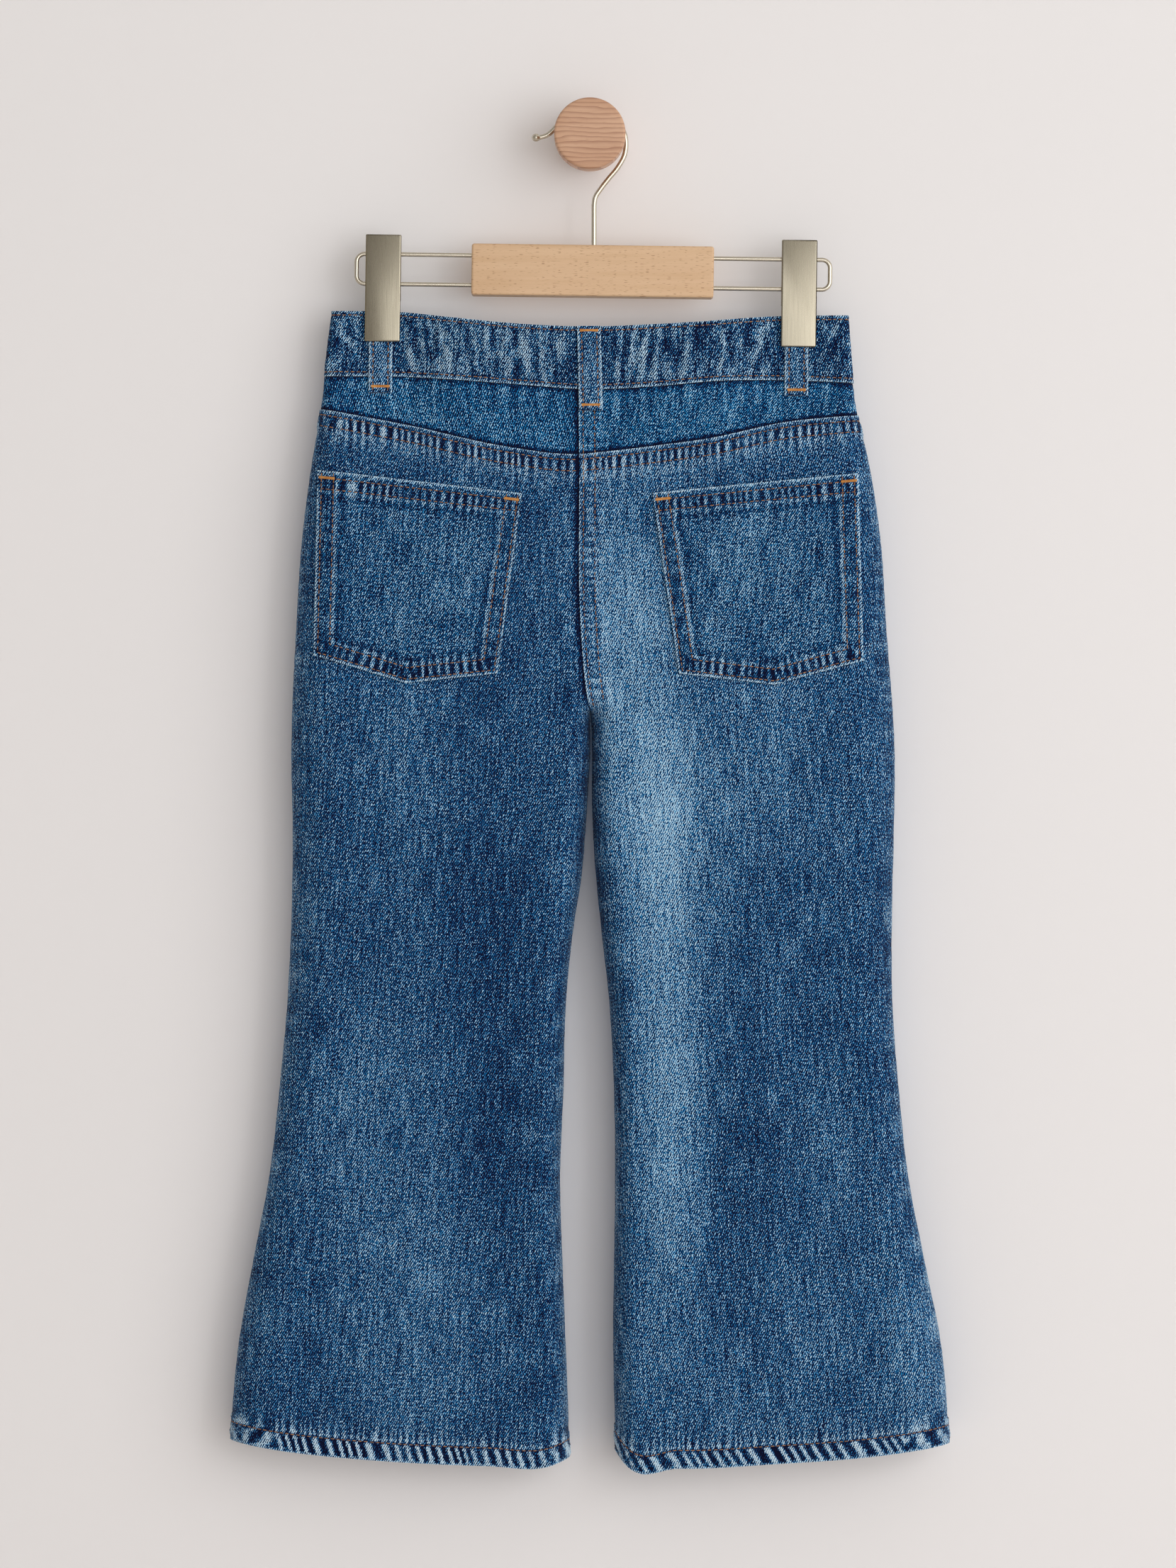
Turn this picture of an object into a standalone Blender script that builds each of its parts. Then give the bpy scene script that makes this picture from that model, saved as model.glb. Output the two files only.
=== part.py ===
"""Wide-leg jeans, hung by the waistband from a two-clip hanger on a round wall peg.

The back of the jeans faces -Y and the wall is the plane y = 0, with +Z up. The origin is
the middle of the peg's back face, on the wall. Every cloth piece is a wall: a grid of
points on the garment's surface, moved out along its normals for the outer face and in
for the inner face. The surface is worked out from the outline, the inseams and a half
depth for each height, and it rolls round to the middle plane at the sides and inseams.
Lengths are in millimetres until a mesh is made.
"""

import math

import bpy
import numpy as np

MM = 0.001

# Driving dimensions
CLOTH = 1.2
SEAM_GAP = 0.3
MIDDLE_Y = -24.0
CROTCH_X, CROTCH_Z = 0.5, -318.0
OUTER_ROLL, INNER_ROLL = 1.4, 0.75
FELL_WIDTH, FELL_LIFT, FELL_STEP = 10.5, 0.7, 0.8
HEM_WIDTH, HEM_LIFT, FRONT_HEM_RISE = 11.5, 0.6, 1.5
FRONT_WAIST_DROP = 5.0

BAND_LIFT, BAND_WALL, BAND_ROLL = 0.5, 1.8, 0.035
BAND_ROWS = (0.0, 0.06, 0.35, 0.65, 0.94, 1.0)
GATHERS, GATHER_HEIGHT, GATHER_SEED = 30, 0.8, 7
GATHER_STEPS = 4

CLIP_X, CLIP_WIDTH, CLIP_LENGTH = 115.0, 19.5, 59.1
PINCHED_DEPTH = 1.6
PINCH_INNER, PINCH_OUTER = 11.0, 46.0
PINCH_TOP, PINCH_BOTTOM = -119.0, -185.0

LOOP_WIDTH, LOOP_WALL = 12.9, 1.2
POCKET_GAP, POCKET_WALL, POCKET_RIM, RIM_LIFT = 0.6, 1.0, 9.0, 0.4
FLY_WIDTH, FLY_LENGTH, FLY_STRAIGHT, FLY_WALL = 34.0, 104.0, 0.66, 1.0
BUTTON_RADIUS, BUTTON_X = 8.5, -16.0

PEG_NECK, PEG_HEAD, PEG_NECK_LENGTH, PEG_LENGTH = 15.2, 19.6, 34.0, 50.0
HOOK_WIRE, HOOK_RADIUS, HOOK_CENTRE = 1.4, 20.3, (-0.3, -3.4)
HOOK_STEM_X, HOOK_BORE = 2.3, 3.5
RAIL_WIRE, RAIL_CORNER, RUNNING_GAP = 1.25, 4.5, 0.3
RAIL_LEFT, RAIL_RIGHT = -131.05, 130.65
RAIL_TOP, RAIL_BOTTOM = -6.05, -22.5
BAR_LENGTH, BAR_HEIGHT, BAR_DEPTH, BAR_EDGE, BAR_SHIFT = 133.7, 28.3, 14.0, 1.5, -0.55
BAR_TOP_Z, HANGER_TILT = -59.5, math.radians(0.75)
CLIP_TOP, CLIP_FRONT_WALL, CLIP_CHEEK = 4.35, 1.2, 1.0
CLIP_CHEEK_LENGTH, CLIP_REAR_WIDTH, CLIP_REAR_WALL = 36.0, 17.0, 1.0
CLIP_CENTRES = {"left": -113.85, "right": 115.85}
CUT_SPARE = 20.0

# Height, left edge and right edge of the whole outline
OUTLINE = [
    (-95.0, -142.2, 142.5),
    (-121.0, -145.5, 144.3),
    (-150.0, -148.6, 147.3),
    (-175.0, -152.9, 153.3),
    (-222.0, -159.1, 160.7),
    (-269.0, -162.2, 163.8),
    (-339.0, -165.0, 168.5),
    (-386.0, -164.2, 168.0),
    (-433.0, -165.0, 166.9),
    (-479.0, -167.3, 167.3),
    (-526.0, -171.6, 170.8),
    (-573.0, -177.1, 175.9),
    (-620.0, -186.0, 184.9),
    (-667.0, -194.2, 194.2),
    (-713.0, -198.1, 198.1),
    (-735.0, -198.6, 199.0),
]

# Height, inner edge of the left leg and of the right leg
INSEAM = [
    (-318.0, 0.35, 0.65),
    (-340.0, 0.2, 1.3),
    (-362.0, -1.0, 1.2),
    (-380.0, -2.2, 1.7),
    (-409.0, -4.7, 3.5),
    (-433.0, -8.6, 5.9),
    (-479.0, -13.3, 10.9),
    (-526.0, -14.6, 13.3),
    (-573.0, -16.4, 14.0),
    (-620.0, -15.2, 13.4),
    (-667.0, -13.3, 12.9),
    (-713.0, -11.7, 14.0),
    (-735.0, -11.4, 14.4),
]

# Height and half depth of the garment, front to back
DEPTH = [
    (-95.0, 7.0),
    (-136.0, 9.0),
    (-200.0, 14.0),
    (-300.0, 18.0),
    (-400.0, 18.0),
    (-500.0, 15.5),
    (-600.0, 15.5),
    (-735.0, 18.5),
]

# Sideways place, top and bottom of the waistband
WAIST = [
    (-146.0, -95.6, -131.7),
    (-102.0, -96.4, -132.0),
    (-75.0, -99.6, -133.9),
    (-40.0, -103.0, -136.6),
    (0.0, -104.6, -139.3),
    (38.0, -103.2, -137.5),
    (66.0, -101.5, -135.0),
    (100.0, -98.7, -133.8),
    (146.0, -98.0, -135.4),
]

# Sideways place and height of the yoke's seam
YOKE = [
    (-150.0, -149.4),
    (-100.0, -159.0),
    (-48.0, -170.5),
    (-7.0, -175.0),
    (9.0, -173.6),
    (42.0, -169.6),
    (64.0, -166.6),
    (108.0, -157.2),
    (147.0, -153.3),
]

# Height and sideways place of the centre back seam
CENTRE_BACK = [(-95.0, -7.0), (-175.0, -6.0), (-283.0, -4.3), (-306.0, -2.0), (-318.0, 0.5)]
CENTRE_FRONT = [(-95.0, 0.5), (-318.0, 0.5)]

# Sideways place and height of each leg's lower edge
HEMS = {
    -1: [(-198.5, -718.5), (-165.0, -724.0), (-118.0, -728.6), (-55.0, -731.7),
         (-24.0, -732.3), (-11.7, -728.2)],
    1: [(14.0, -724.0), (20.0, -731.3), (49.0, -733.0), (102.0, -730.6),
        (156.0, -726.5), (198.5, -720.5)],
}

# Corners of each back pocket: top outer, top inner, bottom inner, point, bottom outer
POCKETS = {
    "back_pocket_left": [(-148.9, -184.2), (-37.4, -197.1), (-50.8, -296.1),
                         (-101.0, -301.4), (-151.1, -286.2)],
    "back_pocket_right": [(147.0, -186.1), (34.6, -196.9), (49.1, -296.1),
                          (101.2, -302.3), (149.9, -289.1)],
}

# Name, side, centre at the top, centre at the bottom, lower end and lift of each belt loop
LOOPS = [
    ("loop_back_left", -1, -115.3, -115.7, -141.1, 0.8),
    ("loop_back_right", -1, 114.3, 114.0, -142.8, 0.8),
    ("loop_back_centre", -1, -0.5, 0.7, -151.3, 1.2),
    ("loop_front_left", 1, -72.0, -72.0, -146.0, 0.8),
    ("loop_front_right", 1, 72.0, 72.0, -146.0, 0.8),
]

# Points of the hook's curled end and of the run from its arc to its stem
HOOK_END = [(-27.6, 0.5), (-23.7, 1.7), (-20.5, 4.3)]
HOOK_NECK = [(10.5, -22.2), (6.0, -28.0), (3.1, -32.5), (2.3, -37.0)]
HOOK_ARC = (math.radians(143.5), math.radians(-40.0))

DENIM = (0.060, 0.140, 0.260, 1.0)
DENIM_DARK = (0.045, 0.115, 0.225, 1.0)
BEECH = (0.640, 0.430, 0.260, 1.0)
NICKEL = (0.520, 0.490, 0.440, 1.0)


def curve(rows, at, column=1):
    """Smooth value of one column of a table at a place in its first column."""
    table = np.array(sorted(rows))
    knots, values = table[:, 0], table[:, column]
    slopes = np.gradient(values, knots)
    at = np.clip(at, knots[0], knots[-1])
    left = np.clip(np.searchsorted(knots, at) - 1, 0, len(knots) - 2)
    width = knots[left + 1] - knots[left]
    t = (at - knots[left]) / width
    return ((2 * t**3 - 3 * t**2 + 1) * values[left] + (t**3 - 2 * t**2 + t) * width * slopes[left]
            + (3 * t**2 - 2 * t**3) * values[left + 1] + (t**3 - t**2) * width * slopes[left + 1])


def fade(start, end, value):
    """Smooth step from 0 at start to 1 at end."""
    t = np.clip((value - start) / (end - start), 0.0, 1.0)
    return t * t * (3.0 - 2.0 * t)


def rise(distance, roll):
    """Share of the full depth at a distance from an edge: a quarter of an ellipse."""
    t = np.clip(distance / roll, 0.0, 1.0)
    return np.sqrt(1.0 - (1.0 - t) ** 2)


def half_depth(x, z):
    """Half depth of the garment, pinched flat where the clips hold the waistband."""
    full = curve(DEPTH, z)
    sideways = fade(PINCH_OUTER, PINCH_INNER, np.abs(np.abs(x) - CLIP_X))
    return full + (PINCHED_DEPTH - full) * sideways * fade(PINCH_BOTTOM, PINCH_TOP, z)


def cloth_y(x, z, side, gap=SEAM_GAP):
    """Depth of the back (side -1) or front (side 1) surface at a place in the outline."""
    full = curve(DEPTH, z)
    outer = np.minimum(x - curve(OUTLINE, z, 1), curve(OUTLINE, z, 2) - x)
    left_leg, right_leg = curve(INSEAM, z, 1), curve(INSEAM, z, 2)
    beside = np.maximum(left_leg - x, x - right_leg)
    above = np.hypot(x - CROTCH_X, z - CROTCH_Z)
    inner = np.where(z > CROTCH_Z, above, beside)
    share = rise(outer, OUTER_ROLL * full) * rise(inner, INNER_ROLL * full)
    return MIDDLE_Y + side * (gap / 2 + (half_depth(x, z) - gap / 2) * share)


def surface(x, z, side, gap=SEAM_GAP):
    """Grid of surface points from grids of x and z."""
    return np.stack([x, cloth_y(x, z, side, gap), z], axis=-1)


def grid_normals(points, side):
    """Unit normals of a grid, pointing out of the garment."""
    normals = np.cross(np.gradient(points, axis=0), np.gradient(points, axis=1))
    normals /= np.linalg.norm(normals, axis=-1, keepdims=True) + 1e-12
    return normals if (normals[..., 1].mean() * side) > 0 else -normals


def unit(vectors):
    """Vectors made one long."""
    return vectors / np.linalg.norm(vectors, axis=-1, keepdims=True)


def new_material(name, color, roughness, metallic=0.0):
    material = bpy.data.materials.new(name)
    material.use_nodes = True
    shader = material.node_tree.nodes["Principled BSDF"]
    shader.inputs["Base Color"].default_value = color
    shader.inputs["Roughness"].default_value = roughness
    shader.inputs["Metallic"].default_value = metallic
    return material


def add_object(name, points, faces, look, smooth=True):
    """Make an object from points in millimetres, with a material of its own."""
    mesh = bpy.data.meshes.new(name)
    mesh.from_pydata((np.asarray(points) * MM).tolist(), [], faces)
    mesh.materials.append(new_material(name, *look))
    if smooth:
        mesh.shade_smooth()
        mesh.set_sharp_from_angle(angle=math.radians(40))
    item = bpy.data.objects.new(name, mesh)
    bpy.context.scene.collection.objects.link(item)
    return item


def grid_faces(rows, columns, start, flip):
    faces = []
    for i in range(rows - 1):
        for j in range(columns - 1):
            a = start + i * columns + j
            quad = (a, a + 1, a + columns + 1, a + columns)
            faces.append(quad[::-1] if flip else quad)
    return faces


def add_wall(name, points, normals, lift, inset, look):
    """Closed cloth wall between a lifted outer grid and an inner grid."""
    rows, columns = points.shape[:2]
    outer = points + normals * np.broadcast_to(lift, (rows, columns))[..., None]
    inner = points + normals * np.broadcast_to(inset, (rows, columns))[..., None]
    across, down = outer[:-1, 1:] - outer[:-1, :-1], outer[1:, :-1] - outer[:-1, :-1]
    flip = (np.cross(across, down) * normals[:-1, :-1]).sum() < 0
    count = rows * columns
    faces = grid_faces(rows, columns, 0, flip) + grid_faces(rows, columns, count, not flip)
    top = list(range(columns))
    right = [i * columns + columns - 1 for i in range(rows)]
    bottom = [(rows - 1) * columns + j for j in range(columns - 1, -1, -1)]
    left = [i * columns for i in range(rows - 1, -1, -1)]
    rim = top + right[1:] + bottom[1:] + left[1:-1]
    for a, b in zip(rim, rim[1:] + rim[:1]):
        quad = (b, a, a + count, b + count)
        faces.append(quad[::-1] if flip else quad)
    return add_object(name, np.concatenate([outer.reshape(-1, 3), inner.reshape(-1, 3)]), faces, look)


def waist_edge(column, side):
    """Function for the waistband's top (1) or bottom (2) edge, lower in the middle of the front."""
    def edge(x):
        drop = FRONT_WAIST_DROP * (1.0 - np.clip(x / WAIST[-1][0], -1, 1) ** 2) if side > 0 else 0.0
        return curve(WAIST, x, column) - drop
    return edge


def below(edge, distance):
    return lambda x: edge(x) - distance


def level(height):
    return lambda x: np.full_like(x, height)


def roll_steps(count):
    """Widths, as shares of a roll, where a quarter turn is cut into equal angles."""
    return 1.0 - np.cos(np.linspace(0.0, math.pi / 2, count + 1))


def panel_grid(leg, side, spans, flat_columns, roll_columns):
    """Grid of x and z over one leg's panel, from the side seam to the centre seam or inseam.

    Each span is an upper edge, a lower edge and rows of (share, offset): a row's height is
    the blend of the two edges by its share, plus its offset.
    """
    steps = roll_steps(roll_columns)
    shares = np.linspace(0.0, 1.0, flat_columns + 1)[1:-1]
    to_inner = np.concatenate([np.zeros_like(steps), shares, np.ones_like(steps)])
    outer_roll = np.concatenate([steps, 1.0 - shares, np.zeros_like(steps)])
    inner_roll = np.concatenate([np.zeros_like(steps), shares, steps[::-1]])
    count = sum(len(rows) for _, _, rows in spans)
    x = np.zeros((count, len(to_inner)))
    z = np.tile(np.linspace(-140.0, -720.0, count)[:, None], (1, len(to_inner)))
    seam = CENTRE_BACK if side < 0 else CENTRE_FRONT
    for _ in range(12):
        roll = curve(DEPTH, z)
        outer = curve(OUTLINE, z, 1 if leg < 0 else 2)
        inner = np.where(z > CROTCH_Z + 0.01, curve(seam, z) + leg * SEAM_GAP / 2,
                         curve(INSEAM, z, 1 if leg < 0 else 2))
        x = (outer * (1.0 - to_inner) + inner * to_inner
             - leg * roll * (OUTER_ROLL * outer_roll - INNER_ROLL * inner_roll))
        heights = []
        for upper, lower, rows in spans:
            start = sum(len(span) for span in heights)
            for k, (share, offset) in enumerate(rows):
                line = x[start + k]
                heights.append([upper(line) * (1.0 - share) + lower(line) * share + offset])
        z = np.array([row[0] for row in heights])
    return x, z


def panel_wall(name, leg, side, spans, flat_columns, roll_columns, lift=None):
    """Wall of one leg panel or yoke half, with square edges along its seams."""
    x, z = panel_grid(leg, side, spans, flat_columns, roll_columns)
    points = surface(x, z, side)
    normals = grid_normals(points, side)
    normals[:, 0, 1] = 0.0
    above, crotch = z[:, -1] > CROTCH_Z + 0.01, np.abs(z[:, -1] - CROTCH_Z) < 0.01
    normals[above, -1, 0] = 0.0
    normals[~above, -1, 1] = 0.0
    normals[crotch, -1] = (-leg, 0.0, -1.0)
    raised = np.zeros(x.shape) if lift is None else lift(x, z)
    return add_wall(name, points, unit(normals), raised, -CLOTH, (DENIM, 0.85))


def even(count, start=0.0, end=1.0):
    """Rows at equal shares of a span, with no offset."""
    return [(share, 0.0) for share in np.linspace(start, end, count + 1)]


def fell_lift(leg, side):
    """Raised strips of the felled seams, along the yoke and down the right of the centre back."""
    def lift(x, z):
        hem = curve(HEMS[leg], x) + (FRONT_HEM_RISE if side > 0 else 0.0)
        raised = np.where(z - hem < HEM_WIDTH + 0.1, HEM_LIFT, 0.0)
        if side < 0:
            raised = np.where(curve(YOKE, x) - z < FELL_WIDTH + 0.4, FELL_LIFT, raised)
            centre = (leg > 0) & (x - curve(CENTRE_BACK, z) < FELL_WIDTH) & (z > CROTCH_Z + 0.5)
            raised = np.where(centre, FELL_LIFT, raised)
        return raised
    return lift


def yoke_lift(x, z):
    return np.where((x > curve(CENTRE_BACK, z)) & (x - curve(CENTRE_BACK, z) < FELL_WIDTH), FELL_LIFT, 0.0)


def make_leg_panels():
    roll = INNER_ROLL * float(curve(DEPTH, np.array(CROTCH_Z)))
    near_crotch = [(1.0, roll * step) for step in roll_steps(3)[:0:-1]]
    for leg, hand in ((-1, "left"), (1, "right")):
        for side, face in ((-1, "back"), (1, "front")):
            seam = (lambda x: curve(YOKE, x)) if side < 0 else waist_edge(2, 1)
            hem_rise = FRONT_HEM_RISE if side > 0 else 0.0
            hem = (lambda x, leg=leg, hem_rise=hem_rise: curve(HEMS[leg], x) + hem_rise)
            strip = [(0.0, 0.0)]
            if side < 0:
                strip += [(0.0, -FELL_WIDTH), (0.0, -FELL_WIDTH - FELL_STEP)]
            hem_rows = [(1.0, HEM_WIDTH + FELL_STEP), (1.0, HEM_WIDTH), (1.0, 0.0)]
            upper = (below(seam, SEAM_GAP), level(CROTCH_Z),
                     strip + even(4, 0.2, 0.84) + near_crotch)
            lower = (level(CROTCH_Z), hem, even(11, 0.0, 0.92) + hem_rows)
            flat = 7 if side < 0 else 5
            panel_wall(f"{face}_{hand}", leg, side, [upper, lower], flat, 4, fell_lift(leg, side))


def make_yokes():
    for leg, hand in ((-1, "left"), (1, "right")):
        rows = even(3)
        span = (below(waist_edge(2, -1), SEAM_GAP), lambda x: curve(YOKE, x), rows)
        panel_wall(f"yoke_{hand}", leg, -1, [span], 8, 4, yoke_lift if leg > 0 else None)


def gather_edges():
    """Uneven places round the back where one gather ends and the next begins, and heights."""
    draws = np.random.default_rng(GATHER_SEED)
    widths = draws.uniform(0.6, 1.4, GATHERS)
    heights = draws.uniform(0.45, 1.0, GATHERS)
    edges = np.concatenate([[0.0], np.cumsum(widths)]) / widths.sum()
    return BAND_ROLL + (1.0 - 2 * BAND_ROLL) * edges, heights


def gather_lift(share, x):
    """Height of the elastic's gathers: one rounded ridge between each pair of edges."""
    edges, heights = gather_edges()
    index = np.clip(np.searchsorted(edges, share, side="right") - 1, 0, GATHERS - 1)
    inside = np.clip((share - edges[index]) / (edges[index + 1] - edges[index]), 0.0, 1.0)
    ridge = np.sin(math.pi * inside) ** 2 * heights[index]
    for centre in (-CLIP_X, 0.0, CLIP_X):
        ridge = ridge * fade(CLIP_WIDTH / 2 + 0.5, CLIP_WIDTH / 2 + 6.0, np.abs(x - centre))
    return GATHER_HEIGHT * ridge


def band_stretch(side, start, end, shares):
    """Grid of x and z over one stretch of the waistband, between two functions of height."""
    down = np.array(BAND_ROWS)[:, None]
    x = np.zeros((len(BAND_ROWS), len(shares)))
    for _ in range(8):
        z = waist_edge(1, side)(x) * (1.0 - down) + waist_edge(2, side)(x) * down
        x = start(z) + (end(z) - start(z)) * shares
    return x, z


def make_waistband():
    """One long wall from the front opening round the back and to the front again."""
    edges, _ = gather_edges()
    near_fold = roll_steps(3)[:-1] * BAND_ROLL
    gathers = [np.linspace(a, b, GATHER_STEPS, endpoint=False) for a, b in zip(edges, edges[1:])]
    back = np.concatenate([near_fold, *gathers, edges[-1:], 1.0 - near_fold[::-1]])
    front = np.concatenate([np.linspace(0.0, 1.0 - 2 * BAND_ROLL, 10), 1.0 - 2 * near_fold[::-1]])
    stretches = [
        (1, lambda z: np.full_like(z, SEAM_GAP / 2), lambda z: curve(OUTLINE, z, 2), front),
        (-1, lambda z: curve(OUTLINE, z, 2), lambda z: curve(OUTLINE, z, 1), back),
        (1, lambda z: curve(OUTLINE, z, 1), lambda z: np.full_like(z, -SEAM_GAP / 2), 1.0 - front[::-1]),
    ]
    crown = np.sin(math.pi * np.array(BAND_ROWS))[:, None] ** 0.5
    grids, lifts = [], []
    for side, start, end, shares in stretches:
        x, z = band_stretch(side, start, end, shares)
        ridges = gather_lift(np.tile(shares, (len(BAND_ROWS), 1)), x) * crown * (side < 0)
        first = 1 if grids else 0
        grids.append(surface(x, z, side, 0.0)[:, first:])
        lifts.append(BAND_LIFT + ridges[:, first:])
    points, lift = np.concatenate(grids, axis=1), np.concatenate(lifts, axis=1)
    normals = np.cross(np.gradient(points, axis=0), np.gradient(points, axis=1))
    middle = points.shape[1] // 2
    normals = normals if normals[2, middle, 1] < 0 else -normals
    normals[:, (0, -1), 0] = 0.0
    add_wall("waistband", points, unit(normals), lift, BAND_LIFT - BAND_WALL, (DENIM, 0.85))


def make_loops():
    """Belt loops: strips laid over the waistband, ending on the cloth below it."""
    across = np.array([-0.5, 0.0, 0.5]) * LOOP_WIDTH
    down = np.linspace(0.0, 1.0, 6)[:, None]
    for name, side, top_x, bottom_x, bottom_z, gap in LOOPS:
        x = (top_x + (bottom_x - top_x) * down) + across[None, :]
        top = waist_edge(1, side)(x)
        z = top + (bottom_z - top) * down
        points = surface(x, z, side)
        normals = unit(grid_normals(points, side))
        add_wall(name, points, normals, gap + LOOP_WALL, gap, (DENIM_DARK, 0.85))


def make_pockets():
    """Patch pockets: a five-cornered outline over the back panel, with a raised rim."""
    down_shares = np.array([0.0, 0.085, 0.12, 0.4, 0.65, 0.88, 0.92, 1.0])[:, None]
    for name, corners in POCKETS.items():
        top_out, top_in, low_in, point, low_out = np.array(corners)
        side_share = (point[0] - low_out[0]) / (low_in[0] - low_out[0])
        edge_shares = np.array([0.0, 0.028, 0.082, 0.11, 0.25, side_share, 0.7, 0.89, 0.918, 1.0])
        across = edge_shares[None, :]
        top = top_out + (top_in - top_out) * edge_shares[:, None]
        low_z = np.where(edge_shares < side_share,
                         low_out[1] + (point[1] - low_out[1]) * edge_shares / side_share,
                         point[1] + (low_in[1] - point[1]) * (edge_shares - side_share) / (1 - side_share))
        low_x = low_out[0] + (low_in[0] - low_out[0]) * edge_shares
        x = top[:, 0] + (low_x - top[:, 0]) * down_shares
        z = top[:, 1] + (low_z - top[:, 1]) * down_shares
        points = surface(x, z, -1)
        normals = grid_normals(points, -1)
        width, height = abs(top_in[0] - top_out[0]), abs(point[1] - top_out[1])
        rim = ((np.minimum(across, 1 - across) * width < POCKET_RIM + 0.3)
               | (np.minimum(down_shares, 1 - down_shares) * height < POCKET_RIM + 1.3))
        lift = POCKET_GAP + POCKET_WALL + np.where(rim, RIM_LIFT, 0.0)
        add_wall(name, points, unit(normals), lift, POCKET_GAP, (DENIM, 0.85))


def make_fly():
    """Placket on the wearer's left front, straight and then curved in to the opening."""
    down = np.linspace(0.0, 0.97, 9)[:, None]
    bend = np.clip((down - FLY_STRAIGHT) / (1.0 - FLY_STRAIGHT), 0.0, 1.0)
    width = FLY_WIDTH * np.sqrt(1.0 - bend**2)
    x = curve(CENTRE_FRONT, -200.0) - SEAM_GAP - width * np.linspace(0.0, 1.0, 5)[None, :]
    z = waist_edge(2, 1)(x) - 1.0 - down * FLY_LENGTH
    points = surface(x, z, 1)
    normals = grid_normals(points, 1)
    add_wall("fly_placket", points, unit(normals), SEAM_GAP + FLY_WALL, SEAM_GAP, (DENIM_DARK, 0.85))


def turned(name, profile, segments, look):
    """Turned solid round the Y axis from rows of (y, radius), closed at both ends."""
    angles = np.linspace(0.0, 2 * math.pi, segments, endpoint=False)
    points = [(radius * math.cos(a), y, radius * math.sin(a)) for y, radius in profile for a in angles]
    faces = []
    for ring in range(len(profile) - 1):
        for k in range(segments):
            a, b = ring * segments + k, ring * segments + (k + 1) % segments
            faces.append((a, b, b + segments, a + segments))
    faces.append(tuple(range(segments))[::-1])
    last = (len(profile) - 1) * segments
    faces.append(tuple(range(last, last + segments)))
    if profile[-1][0] > profile[0][0]:
        faces = [face[::-1] for face in faces]
    return add_object(name, points, faces, look)


def make_button():
    """Waist button with a short shank, square to the waistband's slope."""
    z_middle = float(waist_edge(1, 1)(np.array(BUTTON_X)) + waist_edge(2, 1)(np.array(BUTTON_X))) / 2
    place = np.array([BUTTON_X, BUTTON_X]), np.array([z_middle - 5.0, z_middle + 5.0])
    low, high = cloth_y(*place, 1, 0.0)
    slope = math.atan2(low - high, 10.0)
    radius = BUTTON_RADIUS
    profile = [(0.0, 3.4), (1.2, 3.4), (1.2, radius - 0.6), (1.7, radius), (2.9, radius), (3.5, radius - 0.7),
               (3.2, radius - 2.2), (3.4, radius - 3.6)]
    button = turned("waist_button", profile, 24, (NICKEL, 0.35, 1.0))
    button.location = np.array([BUTTON_X, (low + high) / 2 + BAND_LIFT + 0.6, z_middle]) * MM
    button.rotation_euler = (slope, 0.0, 0.0)


def make_peg():
    """Wooden peg: a neck on the wall and a wider round head in front of it."""
    profile = [(0.0, PEG_NECK), (-PEG_NECK_LENGTH, PEG_NECK), (-PEG_NECK_LENGTH - 0.5, PEG_HEAD - 1.0),
               (-PEG_NECK_LENGTH - 1.5, PEG_HEAD), (-PEG_LENGTH + 2.0, PEG_HEAD),
               (-PEG_LENGTH + 0.6, PEG_HEAD - 0.6), (-PEG_LENGTH, PEG_HEAD - 2.0)]
    turned("wall_peg", profile, 40, (BEECH, 0.6))


def add_wire(name, points, radius, look, closed=False, tip_radius=None):
    """Round wire along points in millimetres, with its ends capped."""
    data = bpy.data.curves.new(name, "CURVE")
    data.dimensions = "3D"
    data.bevel_depth = radius * MM
    data.bevel_resolution = 2
    data.use_fill_caps = not closed
    spline = data.splines.new("POLY")
    spline.points.add(len(points) - 1)
    for k, (x, y, z) in enumerate(points):
        spline.points[k].co = (x * MM, y * MM, z * MM, 1.0)
    if tip_radius:
        for k, share in enumerate((0.75, 1.0, 0.75)):
            spline.points[k].radius = share * tip_radius / radius
    spline.use_cyclic_u = closed
    data.materials.append(new_material(name, *look))
    item = bpy.data.objects.new(name, data)
    bpy.context.scene.collection.objects.link(item)
    return item


def smooth_route(points, per_span):
    """Points along a smooth curve through a route, by the tangent of each point's neighbours."""
    points = np.array(points, dtype=float)
    tangents = np.gradient(points, axis=0)
    out = []
    for k in range(len(points) - 1):
        for t in np.linspace(0.0, 1.0, per_span, endpoint=False):
            out.append((2 * t**3 - 3 * t**2 + 1) * points[k] + (t**3 - 2 * t**2 + t) * tangents[k]
                       + (3 * t**2 - 2 * t**3) * points[k + 1] + (t**3 - t**2) * tangents[k + 1])
    out.append(points[-1])
    return out


def make_hook():
    """Wire hook over the peg's neck, its stem down into the bar."""
    angles = np.linspace(HOOK_ARC[0], HOOK_ARC[1], 9)
    arc = [(HOOK_CENTRE[0] + HOOK_RADIUS * math.cos(a), HOOK_CENTRE[1] + HOOK_RADIUS * math.sin(a))
           for a in angles]
    flat = smooth_route(HOOK_END + arc + HOOK_NECK, 3)
    tip = [(flat[0][0] - 3.4, flat[0][1] - 0.2), (flat[0][0] - 2.2, flat[0][1] - 0.1),
           (flat[0][0] - 1.0, flat[0][1])]
    stem = [(HOOK_STEM_X, -48.0), (HOOK_STEM_X, BAR_TOP_Z - HOOK_BORE + RUNNING_GAP)]
    route = [(x, MIDDLE_Y, z) for x, z in tip + [tuple(p) for p in flat] + stem]
    add_wire("hanger_hook", route, HOOK_WIRE, (NICKEL, 0.3, 1.0), tip_radius=2.3)


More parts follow.
